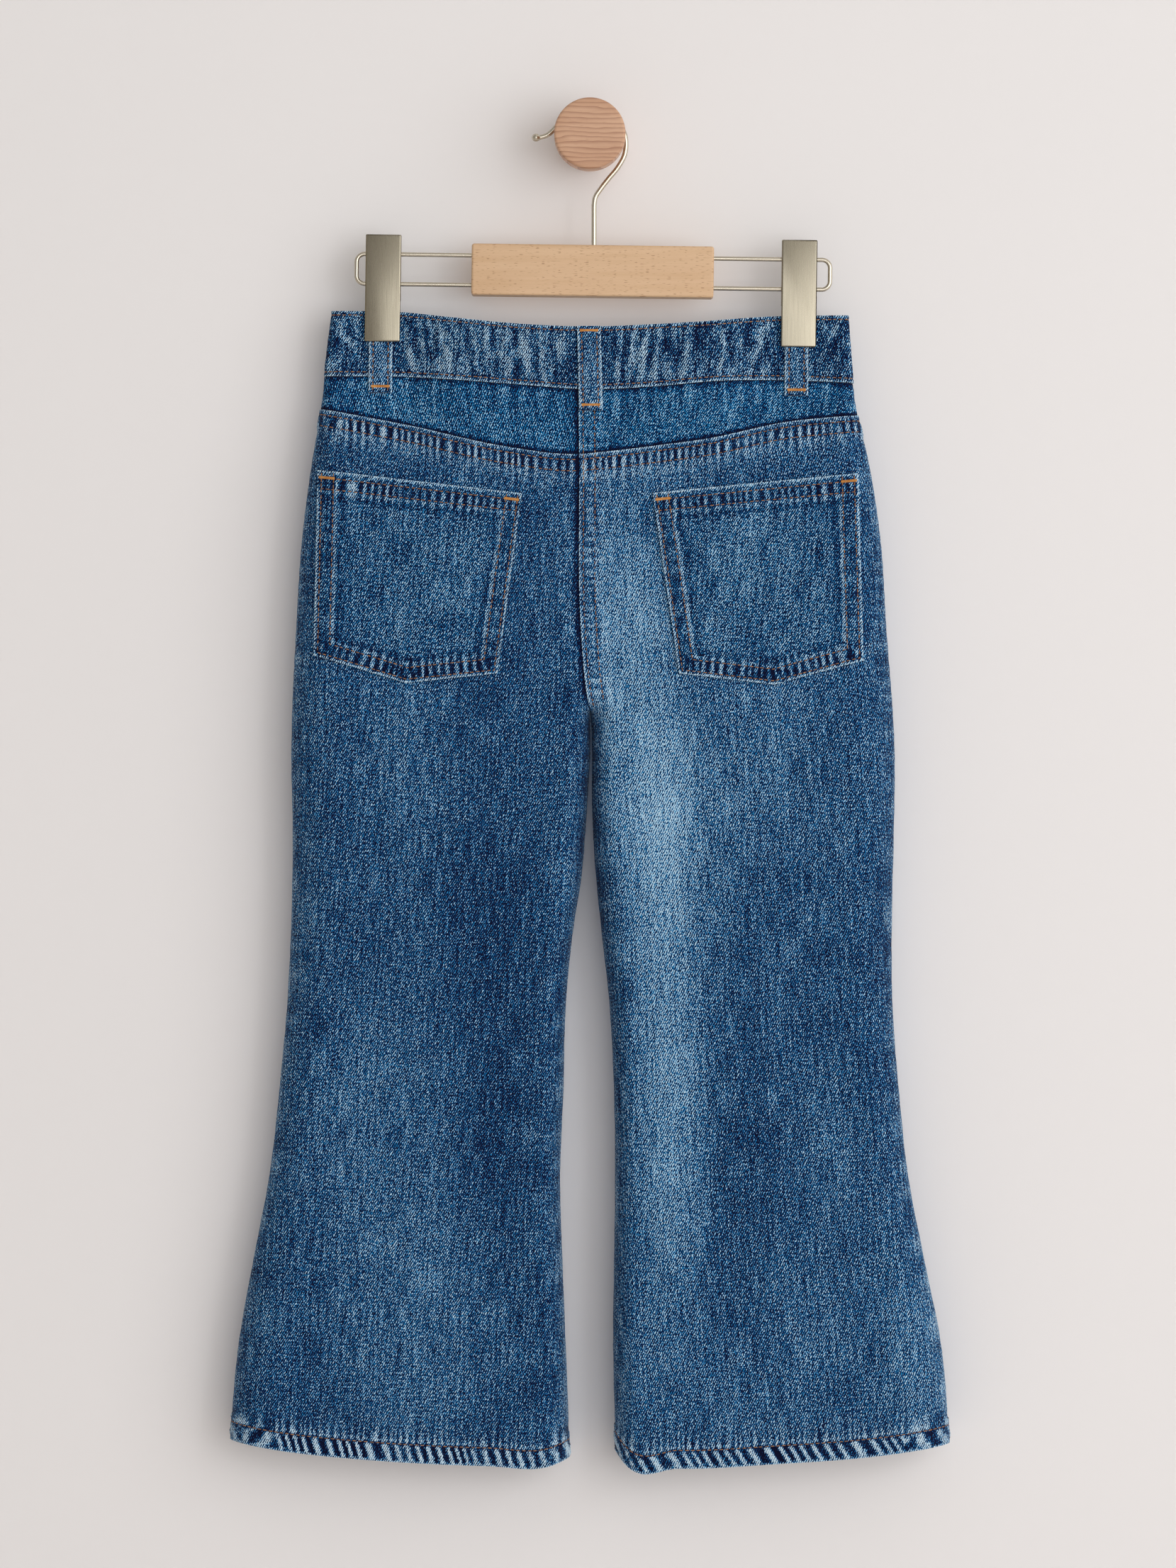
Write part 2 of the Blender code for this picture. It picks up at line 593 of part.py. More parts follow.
def add_box(name, low, high, look=None):
    """Box between two corners in millimetres, in the hanger's own frame."""
    points = [(x, y, z) for x in (low[0], high[0]) for y in (low[1], high[1]) for z in (low[2], high[2])]
    faces = [(0, 1, 3, 2), (4, 6, 7, 5), (0, 4, 5, 1), (2, 3, 7, 6), (0, 2, 6, 4), (1, 5, 7, 3)]
    return add_object(name, points, faces, look or (BEECH, 0.6), smooth=False)


def add_rod(name, start, end, radius):
    """Round cutter between two points in the hanger's own frame."""
    direction = unit(np.array(end) - np.array(start))
    across = np.cross(direction, (0.0, 1.0, 0.0))
    across = unit(across)
    other = np.cross(direction, across)
    points, sides = [], 16
    for place in (start, end):
        for k in range(sides):
            angle = 2 * math.pi * k / sides
            points.append(np.array(place) + radius * (math.cos(angle) * across + math.sin(angle) * other))
    faces = [(k, (k + 1) % sides, sides + (k + 1) % sides, sides + k) for k in range(sides)]
    faces += [tuple(range(sides))[::-1], tuple(range(sides, 2 * sides))]
    return add_object(name, points, faces, (BEECH, 0.6), smooth=False)


def cut(item, *cutters):
    for cutter in cutters:
        cutter.hide_render = True
        cutter.display_type = "WIRE"
        step = item.modifiers.new("Cut", "BOOLEAN")
        step.operation = "DIFFERENCE"
        step.object = cutter


def soften(item, width):
    step = item.modifiers.new("Edges", "BEVEL")
    step.width = width * MM
    step.segments = 2


def make_hanger():
    """Wooden bar, closed wire rail and two clips, in a frame tilted about the hook's foot."""
    frame = bpy.data.objects.new("hanger_frame", None)
    bpy.context.scene.collection.objects.link(frame)
    frame.location = (HOOK_STEM_X * MM, MIDDLE_Y * MM, BAR_TOP_Z * MM)
    frame.rotation_euler = (0.0, HANGER_TILT, 0.0)
    rails = [((RAIL_LEFT * 2, 0, z), (RAIL_RIGHT * 2, 0, z)) for z in (RAIL_TOP, RAIL_BOTTOM)]
    bore = RAIL_WIRE + RUNNING_GAP
    items = []

    low, high = BAR_SHIFT - BAR_LENGTH / 2, BAR_SHIFT + BAR_LENGTH / 2
    bar = add_box("hanger_bar", (low, -BAR_DEPTH / 2, -BAR_HEIGHT), (high, BAR_DEPTH / 2, 0.0))
    soften(bar, BAR_EDGE)
    bores = [add_rod(f"bar_bore_{k}", start, end, bore) for k, (start, end) in enumerate(rails)]
    socket = add_rod("hook_bore", (0, 0, -HOOK_BORE), (0, 0, 5.0), HOOK_WIRE + RUNNING_GAP)
    cut(bar, *bores, socket)
    items += [bar, *bores, socket]

    right, left = RAIL_RIGHT - RAIL_CORNER, RAIL_LEFT + RAIL_CORNER
    top, bottom = RAIL_TOP - RAIL_CORNER, RAIL_BOTTOM + RAIL_CORNER
    centres = [(right, top), (right, bottom), (left, bottom), (left, top)]
    route = []
    for quarter, (x, z) in enumerate(centres):
        for angle in np.linspace(math.pi / 2, 0.0, 5) - quarter * math.pi / 2:
            route.append((x + RAIL_CORNER * math.cos(angle), 0.0, z + RAIL_CORNER * math.sin(angle)))
    items.append(add_wire("hanger_rail", route, RAIL_WIRE, (NICKEL, 0.3, 1.0), closed=True))

    front_inner = -(PINCHED_DEPTH + BAND_LIFT + SEAM_GAP + LOOP_WALL + SEAM_GAP)
    rear_inner = PINCHED_DEPTH + BAND_LIFT + SEAM_GAP
    foot, mouth = CLIP_TOP - CLIP_LENGTH, CLIP_TOP - CLIP_CHEEK_LENGTH
    metal = (NICKEL, 0.35, 1.0)
    for hand, centre in CLIP_CENTRES.items():
        x = centre - HOOK_STEM_X
        low, high = x - CLIP_WIDTH / 2, x + CLIP_WIDTH / 2
        front = add_box(f"clip_{hand}_front", (low, front_inner - CLIP_FRONT_WALL, foot),
                        (high, rear_inner - SEAM_GAP, CLIP_TOP), metal)
        channel = add_box(f"clip_{hand}_channel", (low + CLIP_CHEEK, front_inner, foot - CUT_SPARE),
                          (high - CLIP_CHEEK, CUT_SPARE, CLIP_TOP + CUT_SPARE))
        grip = add_box(f"clip_{hand}_grip", (low - CUT_SPARE, front_inner, foot - CUT_SPARE),
                       (high + CUT_SPARE, CUT_SPARE, mouth))
        holes = [add_rod(f"clip_{hand}_hole_{k}", (low - CUT_SPARE, 0, z), (high + CUT_SPARE, 0, z), bore)
                 for k, z in enumerate((RAIL_TOP, RAIL_BOTTOM))]
        cut(front, channel, grip, *holes)
        rear = add_box(f"clip_{hand}_rear", (x - CLIP_REAR_WIDTH / 2, rear_inner, foot + 1.0),
                       (x + CLIP_REAR_WIDTH / 2, rear_inner + CLIP_REAR_WALL, CLIP_TOP - 4.0), metal)
        items += [front, channel, grip, *holes, rear]
    for item in items:
        item.parent = frame


def main():
    for item in list(bpy.data.objects):
        bpy.data.objects.remove(item, do_unlink=True)
    make_leg_panels()
    make_yokes()
    make_waistband()
    make_loops()
    make_pockets()
    make_fly()
    make_button()
    make_peg()
    make_hook()
    make_hanger()


main()
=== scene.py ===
# %% [markdown]
# # Wide-leg jeans on a clip hanger
#
# This notebook dresses a pair of child's flared jeans, which hang by the waistband from a clip
# hanger on a round wall peg. We look at the back of the jeans. The cut pieces, their sizes and
# their places come from a packed frame, and here each one gets its fine form and its finish.

# %% Load the frame
import math

import bpy
import numpy as np
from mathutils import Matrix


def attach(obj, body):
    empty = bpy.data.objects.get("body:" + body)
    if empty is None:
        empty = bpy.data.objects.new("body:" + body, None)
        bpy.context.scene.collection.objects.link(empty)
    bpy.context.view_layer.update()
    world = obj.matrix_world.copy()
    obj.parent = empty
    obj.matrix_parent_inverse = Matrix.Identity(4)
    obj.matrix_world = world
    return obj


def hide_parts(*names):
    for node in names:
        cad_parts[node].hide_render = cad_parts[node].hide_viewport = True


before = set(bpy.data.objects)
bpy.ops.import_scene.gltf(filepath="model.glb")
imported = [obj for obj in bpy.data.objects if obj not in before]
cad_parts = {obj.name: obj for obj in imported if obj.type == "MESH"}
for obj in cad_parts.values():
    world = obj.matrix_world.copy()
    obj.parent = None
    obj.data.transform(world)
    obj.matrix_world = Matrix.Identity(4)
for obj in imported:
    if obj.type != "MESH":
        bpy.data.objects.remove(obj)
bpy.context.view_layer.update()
MM = 0.001

# %% [markdown]
# ## The camera
#
# A product photograph of a flat garment is taken from far away with a long lens, so that the
# waist and the hems are seen at the same size. The lens is worked out from how tall the view is
# at the cloth: focal length is sensor height times distance over view height.

# %% Camera
VIEW_CENTRE_X, VIEW_CENTRE_Z = -1.0, -356.9
VIEW_HEIGHT, VIEW_DISTANCE, CLOTH_FACE_Y = 862.7, 3000.0, -38.0
SENSOR = 36.0

camera_data = bpy.data.cameras.new("camera")
camera_data.sensor_width = SENSOR
camera_data.lens = SENSOR * VIEW_DISTANCE / VIEW_HEIGHT
camera = bpy.data.objects.new("camera", camera_data)
bpy.context.scene.collection.objects.link(camera)
camera.location = (VIEW_CENTRE_X * MM, (CLOTH_FACE_Y - VIEW_DISTANCE) * MM, VIEW_CENTRE_Z * MM)
camera.rotation_euler = (math.radians(90.0), 0.0, 0.0)
bpy.context.scene.camera = camera
bpy.context.scene.view_settings.view_transform = "Standard"
print("lens:", round(camera_data.lens, 1), "mm")

# %% [markdown]
# ## The form of the garment
#
# A garment hung flat is nearly a flat bag. A cloth simulation could drape one, but it can't be
# held to an outline that is known. So the shape is worked out: an outline seen from the back, and
# for each height a half depth from the middle plane to the cloth. The cloth keeps that depth over
# most of the width, and near a side or an inseam it rolls round to the middle plane on a quarter
# of an ellipse. Short tables hold the sizes, in millimetres, and smooth curves run through them.

# %% Sizes of the garment
CLOTH, SEAM_GAP, MIDDLE_Y = 1.2, 0.3, -24.0
CROTCH_X, CROTCH_Z = 0.5, -318.0
OUTER_ROLL, INNER_ROLL = 1.4, 0.75
FRONT_WAIST_DROP, FRONT_HEM_RISE = 5.0, 1.5
CLIP_X, CLIP_WIDTH = 115.0, 19.5
PINCHED_DEPTH, PINCH_INNER, PINCH_OUTER = 1.6, 11.0, 46.0
PINCH_TOP, PINCH_BOTTOM = -119.0, -185.0

# Height, left edge and right edge of the whole outline
OUTLINE = [
    (-95.0, -142.2, 142.5), (-121.0, -145.5, 144.3), (-150.0, -148.6, 147.3), (-175.0, -152.9, 153.3),
    (-222.0, -159.1, 160.7), (-269.0, -162.2, 163.8), (-339.0, -165.0, 168.5), (-386.0, -164.2, 168.0),
    (-433.0, -165.0, 166.9), (-479.0, -167.3, 167.3), (-526.0, -171.6, 170.8), (-573.0, -177.1, 175.9),
    (-620.0, -186.0, 184.9), (-667.0, -194.2, 194.2), (-713.0, -198.1, 198.1), (-735.0, -198.6, 199.0),
]

# Height, inner edge of the left leg and of the right leg
INSEAM = [
    (-318.0, 0.35, 0.65), (-340.0, 0.2, 1.3), (-362.0, -1.0, 1.2), (-380.0, -2.2, 1.7), (-409.0, -4.7, 3.5),
    (-433.0, -8.6, 5.9), (-479.0, -13.3, 10.9), (-526.0, -14.6, 13.3), (-573.0, -16.4, 14.0),
    (-620.0, -15.2, 13.4), (-667.0, -13.3, 12.9), (-713.0, -11.7, 14.0), (-735.0, -11.4, 14.4),
]

# Height and half depth of the garment
DEPTH = [(-95.0, 7.0), (-136.0, 9.0), (-200.0, 14.0), (-300.0, 18.0), (-400.0, 18.0), (-500.0, 15.5),
         (-600.0, 15.5), (-735.0, 18.5)]

# Sideways place, top and bottom of the waistband
WAIST = [
    (-146.0, -95.6, -131.7), (-102.0, -96.4, -132.0), (-75.0, -99.6, -133.9), (-40.0, -103.0, -136.6),
    (0.0, -104.6, -139.3), (38.0, -103.2, -137.5), (66.0, -101.5, -135.0), (100.0, -98.7, -133.8),
    (146.0, -98.0, -135.4),
]

# Sideways place and height of the yoke's seam
YOKE = [(-150.0, -149.4), (-100.0, -159.0), (-48.0, -170.5), (-7.0, -175.0), (9.0, -173.6), (42.0, -169.6),
        (64.0, -166.6), (108.0, -157.2), (147.0, -153.3)]

# Height and sideways place of the centre seams
CENTRE_BACK = [(-95.0, -7.0), (-175.0, -6.0), (-283.0, -4.3), (-306.0, -2.0), (-318.0, 0.5)]
CENTRE_FRONT = [(-95.0, 0.5), (-318.0, 0.5)]

# Sideways place and height of each leg's lower edge
HEMS = {
    -1: [(-198.5, -718.5), (-165.0, -724.0), (-118.0, -728.6), (-55.0, -731.7), (-24.0, -732.3),
         (-11.7, -728.2)],
    1: [(14.0, -724.0), (20.0, -731.3), (49.0, -733.0), (102.0, -730.6), (156.0, -726.5),
        (198.5, -720.5)],
}
print("rows of the outline and the inseam:", len(OUTLINE), len(INSEAM))


# %% Curves through the tables
def curve(rows, at, column=1):
    """A table's column at a place: a cubic through the rows, its slopes from their neighbours."""
    table = np.array(sorted(rows))
    knots, values = table[:, 0], table[:, column]
    slopes = np.gradient(values, knots)
    at = np.clip(at, knots[0], knots[-1])
    left = np.clip(np.searchsorted(knots, at) - 1, 0, len(knots) - 2)
    width = knots[left + 1] - knots[left]
    t = (at - knots[left]) / width
    return ((2 * t**3 - 3 * t**2 + 1) * values[left] + (t**3 - 2 * t**2 + t) * width * slopes[left]
            + (3 * t**2 - 2 * t**3) * values[left + 1] + (t**3 - t**2) * width * slopes[left + 1])


def fade(start, end, value):
    """Smooth step: 0 at start, 1 at end, three t squared less two t cubed between."""
    t = np.clip((value - start) / (end - start), 0.0, 1.0)
    return t * t * (3.0 - 2.0 * t)


def bell(value, width):
    """A hump one high at 0 that falls off as e to the minus square of value over width."""
    return np.exp(-(value / width) ** 2)


hip_edges = [round(float(curve(OUTLINE, -300.0, column)), 1) for column in (1, 2)]
print("hip from and to:", hip_edges, "mm")


# %% The garment's surface
def rise(distance, roll):
    """Share of the depth at a distance from an edge: a quarter ellipse over the roll."""
    t = np.clip(distance / roll, 0.0, 1.0)
    return np.sqrt(1.0 - (1.0 - t) ** 2)


def half_depth(x, z):
    """Half depth, drawn in to the pinched depth where the clips hold the band."""
    full = curve(DEPTH, z)
    sideways = fade(PINCH_OUTER, PINCH_INNER, np.abs(np.abs(x) - CLIP_X))
    return full + (PINCHED_DEPTH - full) * sideways * fade(PINCH_BOTTOM, PINCH_TOP, z)


def cloth_y(x, z, side, gap=SEAM_GAP):
    """Depth of the back (side -1) or front (side 1): middle plus half depth times both rolls."""
    full = curve(DEPTH, z)
    outer = np.minimum(x - curve(OUTLINE, z, 1), curve(OUTLINE, z, 2) - x)
    beside = np.maximum(curve(INSEAM, z, 1) - x, x - curve(INSEAM, z, 2))
    above = np.hypot(x - CROTCH_X, z - CROTCH_Z)
    inner = np.where(z > CROTCH_Z, above, beside)
    share = rise(outer, OUTER_ROLL * full) * rise(inner, INNER_ROLL * full)
    return MIDDLE_Y + side * (gap / 2 + (half_depth(x, z) - gap / 2) * share)


def surface(x, z, side, gap=SEAM_GAP):
    """Points of the plain surface over grids of x and z."""
    return np.stack([x, cloth_y(x, z, side, gap), z], axis=-1)


def unit(vectors):
    """Vectors made one long."""
    return vectors / (np.linalg.norm(vectors, axis=-1, keepdims=True) + 1e-12)


def slope_normals(x, z, side):
    """Outward normals from the slopes of the depth in x and in z, measured over 0.2 mm."""
    step = 0.1
    dx = (cloth_y(x + step, z, side) - cloth_y(x - step, z, side)) / (2 * step)
    dz = (cloth_y(x, z + step, side) - cloth_y(x, z - step, side)) / (2 * step)
    return unit(np.stack([-side * dx, np.full_like(dx, side), -side * dz], axis=-1))


def waist_edge(column, side):
    """The band's top (1) or bottom (2) edge as a function of x, lower in the middle of the front."""
    def edge(x):
        drop = FRONT_WAIST_DROP * (1.0 - np.clip(x / WAIST[-1][0], -1, 1) ** 2) if side > 0 else 0.0
        return curve(WAIST, x, column) - drop
    return edge


print("depth at the hip and knee:", [round(float(curve(DEPTH, z)), 1) for z in (-300.0, -550.0)], "mm")

# %% [markdown]
# ## Uneven waves
#
# Washed denim never repeats. A seam draws the cloth up into small puckers of about the same
# spacing, but each has its own width and height. A noise texture could push the cloth out, but
# the wear has to follow the same ridges, so the noise is written out here. Value noise gives the
# unevenness: random numbers at whole steps, joined by smooth steps. A pucker is then a wave whose
# phase and height both drift with the noise.

# %% Noise and puckers
NOISE_STEPS, NOISE_ROWS = 4096, 64


def uneven(at, seed):
    """Smooth noise from -1 to 1: seeded random values at whole numbers, eased between them."""
    values = np.random.default_rng(seed).uniform(-1.0, 1.0, NOISE_STEPS)
    low = np.floor(at).astype(int)
    t = fade(0.0, 1.0, at - low)
    return values[low % NOISE_STEPS] * (1.0 - t) + values[(low + 1) % NOISE_STEPS] * t


def patchy(a, b, seed):
    """Noise over two directions: noise along a whose rows are eased together along b."""
    low, cell = np.floor(b).astype(int), np.floor(a).astype(int)
    t, s = fade(0.0, 1.0, b - low), fade(0.0, 1.0, a - cell)
    table = np.random.default_rng(seed).uniform(-1.0, 1.0, (NOISE_ROWS, NOISE_STEPS))

    def row(k):
        k = k % NOISE_ROWS
        return table[k, cell % NOISE_STEPS] * (1.0 - s) + table[k, (cell + 1) % NOISE_STEPS] * s
    return row(low) * (1.0 - t) + row(low + 1) * t


def pucker(along, spacing, seed, drift=1.4, sharp=1.0):
    """Wave along a seam: cosine of a drifting phase, times a drifting height of 0.35 to 1."""
    phase = 2 * math.pi * along / spacing + drift * math.pi * uneven(along / (2.6 * spacing), seed)
    ridge = 2.0 * (0.5 + 0.5 * np.cos(phase)) ** sharp - 1.0
    return ridge * (0.68 + 0.32 * uneven(along / (1.7 * spacing), seed + 1))


print("pucker heights:", np.round(pucker(np.arange(0.0, 20.0, 4.0), 5.0, 3), 2))

# %% [markdown]
# ## Cloth as a wall
#
# Every cut piece is the same kind of mesh: a grid of points on the garment, lifted along the
# normals for the outer face, and set in for the inner face, with a rim that joins the two. A
# Solidify modifier could thicken a sheet, but here the two faces are worn differently and the
# wall's thickness changes from place to place. The grid also gives the UV map. U follows the weft
# and V the warp, both in metres, so that the weave has its real size. Three numbers ride on each
# point: wear (worn pale ridges and dark hollows, and on the back, the yoke and the pockets thin
# dark lines of painted shade beside folds and edges), bleach (large faded areas, and on the back a
# few patches of painted shade and a painted highlight) and reverse (the pale inner face).

# %% Faces of grids and rings
def grid_quads(rows, columns, start, flip):
    """Corner indices of a grid's quads, turned round when flip is true."""
    a = (np.arange(rows - 1)[:, None] * columns + np.arange(columns - 1)[None, :]).ravel() + start
    quads = np.stack([a, a + 1, a + columns + 1, a + columns], axis=1)
    return quads[:, ::-1] if flip else quads


def rim_loop(rows, columns):
    """Indices round a grid's rim: along the top, down, back along the bottom and up."""
    top = np.arange(columns)
    right = np.arange(rows) * columns + columns - 1
    bottom = (rows - 1) * columns + np.arange(columns - 1, -1, -1)
    left = np.arange(rows - 1, -1, -1) * columns
    return np.concatenate([top, right[1:], bottom[1:], left[1:-1]])


def ring_quads(count, sides, closed=False):
    """Corner indices of the quads between rings of points that follow one another."""
    ring, after = np.arange(sides), (np.arange(sides) + 1) % sides
    rows = np.arange(count if closed else count - 1)
    here, there = rows[:, None] * sides, ((rows + 1) % count)[:, None] * sides
    return np.stack([here + ring, here + after, there + after, there + ring], axis=-1).reshape(-1, 4)


def end_caps(count, sides):
    """The first ring turned round and the last ring, each as one face."""
    ring = np.arange(sides)
    return [ring[::-1].tolist(), (ring + (count - 1) * sides).tolist()]


print("rim of a grid of 3 by 4 points:", rim_loop(3, 4).tolist())

# %% Meshes and what rides on them
SHARP_ANGLE = math.radians(50.0)


def add_mesh(name, points, faces, slot, material):
    """A smooth object from points in millimetres and faces, riding on the root body."""
    mesh = bpy.data.meshes.new(name)
    mesh.from_pydata((points * MM).tolist(), [], [tuple(face) for face in faces])
    mesh.shade_smooth()
    mesh.set_sharp_from_angle(angle=SHARP_ANGLE)
    item = bpy.data.objects.new(name, mesh)
    bpy.context.scene.collection.objects.link(item)
    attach(item, "root")
    mesh.materials.append(material)
    return item


def set_uv(mesh, uv):
    """Give each face corner the UV of its point."""
    corners = np.empty(len(mesh.loops), dtype=np.int32)
    mesh.loops.foreach_get("vertex_index", corners)
    layer = mesh.uv_layers.new(name="cloth")
    layer.data.foreach_set("uv", uv[corners].astype(np.float32).ravel())


def set_number(mesh, name, values):
    """Store one number on each point."""
    layer = mesh.attributes.new(name, "FLOAT", "POINT")
    layer.data.foreach_set("value", values.astype(np.float32).ravel())


print("edges over", round(math.degrees(SHARP_ANGLE)), "degrees stay sharp")

# %% Cloth walls
INNER_WEAR = 0.35


def add_wall(name, points, normals, lift, inset, uv, wear, bleach, material):
    """Cloth wall: outer grid at points plus normal times lift, inner grid at the inset."""
    rows, columns = points.shape[:2]
    lift, inset = np.broadcast_to(lift, (rows, columns)), np.broadcast_to(inset, (rows, columns))
    outer = points + normals * lift[..., None]
    inner = points + normals * inset[..., None]
    across, down = outer[:-1, 1:] - outer[:-1, :-1], outer[1:, :-1] - outer[:-1, :-1]
    flip = bool((np.cross(across, down) * normals[:-1, :-1]).sum() < 0)
    count = rows * columns
    rim = rim_loop(rows, columns)
    after = np.roll(rim, -1)
    band = np.stack([after, rim, rim + count, after + count], axis=1)
    faces = np.concatenate([grid_quads(rows, columns, 0, flip), grid_quads(rows, columns, count, not flip),
                            band[:, ::-1] if flip else band])
    item = add_mesh(name, np.concatenate([outer.reshape(-1, 3), inner.reshape(-1, 3)]), faces, "denim",
                    material)
    flat_uv = np.concatenate([uv.reshape(-1, 2), uv.reshape(-1, 2)]) * MM
    set_uv(item.data, flat_uv)
    wear, bleach = np.broadcast_to(wear, (rows, columns)), np.broadcast_to(bleach, (rows, columns))
    set_number(item.data, "wear", np.concatenate([wear.ravel(), np.full(count, INNER_WEAR)]))
    set_number(item.data, "bleach", np.concatenate([bleach.ravel(), np.zeros(count)]))
    set_number(item.data, "reverse", np.concatenate([np.zeros(count), np.ones(count)]))
    return item


def grid_normals(points, outward_y):
    """Unit normals from the cross product of a grid's two directions, facing a given way."""
    normals = unit(np.cross(np.gradient(points, axis=0), np.gradient(points, axis=1)))
    return normals if normals[..., 1].mean() * outward_y > 0 else -normals


def arc_uv(points, x, splay=0.0, side=-1):
    """UV in millimetres: U is the arc length along each row from the row's middle, V is height."""
    steps = np.linalg.norm(np.diff(points, axis=1), axis=-1)
    arc = np.concatenate([np.zeros((len(x), 1)), np.cumsum(steps, axis=1)], axis=1)
    middle = x.shape[1] // 2
    sign = np.sign(x[:, -1:] - x[:, :1])
    u = (arc - arc[:, middle:middle + 1]) * sign + x[:, middle:middle + 1]
    u = u + splay * (points[..., 2] - CROTCH_Z)
    return np.stack([-side * u, points[..., 2]], axis=-1)


print("wear of the inner faces:", INNER_WEAR)

# %% [markdown]
# ## Denim
#
# Denim is a 3/1 twill. Blue warp yarns run down the leg, and every fourth crossing a pale weft
# yarn shows, one step over in each row, so fine pale lines climb to the right. Each warp yarn
# took the dye unevenly, which gives short vertical streaks and small tufts of a stronger or a
# weaker blue. Washing leaves a cloudy fade, dark hollows, and worn ridges that are pale and less
# blue. A picture of cloth would fix the wear in one place. So one shader group works the colour
# out from waves and noises over the UV map, and each denim material sets its own amounts.

# %% Node helpers
def new_group(name, inputs, outputs):
    """A shader node group with named sockets; each is (name, kind, default)."""
    group = bpy.data.node_groups.new(name, "ShaderNodeTree")
    for label, kind, value in inputs:
        socket = group.interface.new_socket(name=label, in_out="INPUT", socket_type="NodeSocket" + kind)
        if value is not None:
            socket.default_value = value
    for label, kind in outputs:
        group.interface.new_socket(name=label, in_out="OUTPUT", socket_type="NodeSocket" + kind)
    return group, group.nodes.new("NodeGroupInput"), group.nodes.new("NodeGroupOutput")


class Graph:
    """Short calls that add nodes to one tree and join them."""

    def __init__(self, tree):
        self.tree = tree

    def put(self, socket, value):
        if isinstance(value, bpy.types.NodeSocket):
            self.tree.links.new(value, socket)
        else:
            socket.default_value = value

    def math(self, operation, *values):
        node = self.tree.nodes.new("ShaderNodeMath")
        node.operation = operation
        for socket, value in zip(node.inputs, values):
            self.put(socket, value)
        return node.outputs[0]

    def remap(self, value, low, high, to_low=0.0, to_high=1.0):
        node = self.tree.nodes.new("ShaderNodeMapRange")
        node.clamp = True
        for socket, entry in zip(node.inputs, (value, low, high, to_low, to_high)):
            self.put(socket, entry)
        return node.outputs[0]

    def scaled(self, vector, scale):
        node = self.tree.nodes.new("ShaderNodeVectorMath")
        node.operation = "MULTIPLY"
        self.put(node.inputs[0], vector)
        node.inputs[1].default_value = scale
        return node.outputs[0]

    def noise(self, vector, scales, detail=2.0, roughness=0.5):
        """Noise whose cells are one over each scale long, in metres."""
        node = self.tree.nodes.new("ShaderNodeTexNoise")
        self.put(node.inputs["Vector"], self.scaled(vector, scales))
        node.inputs["Scale"].default_value = 1.0
        node.inputs["Detail"].default_value = detail
        node.inputs["Roughness"].default_value = roughness
        return node.outputs[0]

    def ramp(self, value, stops):
        node = self.tree.nodes.new("ShaderNodeValToRGB")
        while len(node.color_ramp.elements) < len(stops):
            node.color_ramp.elements.new(0.5)
        for element, (place, color) in zip(node.color_ramp.elements, stops):
            element.position, element.color = place, color
        self.put(node.inputs[0], value)
        return node.outputs[0]

    def mix(self, factor, a, b):
        node = self.tree.nodes.new("ShaderNodeMix")
        node.data_type = "RGBA"
        self.put(node.inputs[0], factor)
        self.put(node.inputs[6], a)
        self.put(node.inputs[7], b)
        return node.outputs[2]

    def centred(self, value, amount):
        """A noise of 0 to 1 turned to plus or minus half the amount."""
        return self.math("MULTIPLY", self.math("SUBTRACT", value, 0.5), amount)

    def attribute(self, name):
        node = self.tree.nodes.new("ShaderNodeAttribute")
        node.attribute_name = name
        return node.outputs["Fac"]


print("node calls:", [name for name in vars(Graph) if name[0] != "_"])


# %% Colours and materials
def srgb(red, green, blue):
    """A colour from screen values of 0 to 255, made linear by the screen's power curve."""
    values = [v / 255.0 for v in (red, green, blue)]
    return tuple(v / 12.92 if v <= 0.04045 else ((v + 0.055) / 1.055) ** 2.4 for v in values) + (1.0,)


def group_material(name, group, values, strength, distance):
    """A material with one group: its colour, roughness and bumped height feed the shader."""
    material = bpy.data.materials.new(name)
    material.use_nodes = True
    tree = material.node_tree
    finish = tree.nodes.new("ShaderNodeGroup")
    finish.node_tree = group
    for label, value in values.items():
        finish.inputs[label].default_value = value
    shader = tree.nodes["Principled BSDF"]
    bump = tree.nodes.new("ShaderNodeBump")
    bump.inputs["Strength"].default_value = strength
    bump.inputs["Distance"].default_value = distance * MM
    tree.links.new(finish.outputs["Height"], bump.inputs["Height"])
    tree.links.new(bump.outputs[0], shader.inputs["Normal"])
    tree.links.new(finish.outputs["Color"], shader.inputs["Base Color"])
    tree.links.new(finish.outputs["Roughness"], shader.inputs["Roughness"])
    return material, finish, shader


print("mid grey of the screen, made linear:", round(srgb(128, 128, 128)[0], 3))

# %% The twill group
TWILL_ACROSS, TWILL_UP = 1.29, 2.24
YARN = 0.3225
INDIGO = [(0.0, srgb(0, 5, 38)), (0.2, srgb(3, 29, 72)), (0.4, srgb(16, 61, 110)),
          (0.6, srgb(43, 102, 152)), (0.8, srgb(86, 147, 193)), (1.0, srgb(183, 213, 232))]
REVERSE = [(0.0, srgb(70, 92, 118)), (1.0, srgb(188, 196, 200))]

twill, inside, outside = new_group(
    "washed_twill",
    [("UV", "Vector", None), ("Wear", "Float", 0.0), ("Bleach", "Float", 0.0), ("Reverse", "Float", 0.0),
     ("Tone", "Float", 0.4), ("Contrast", "Float", 1.0), ("Dye", "Float", 1.0)],
    [("Color", "Color"), ("Roughness", "Float"), ("Height", "Float")])
g = Graph(twill)
uv = inside.outputs["UV"]
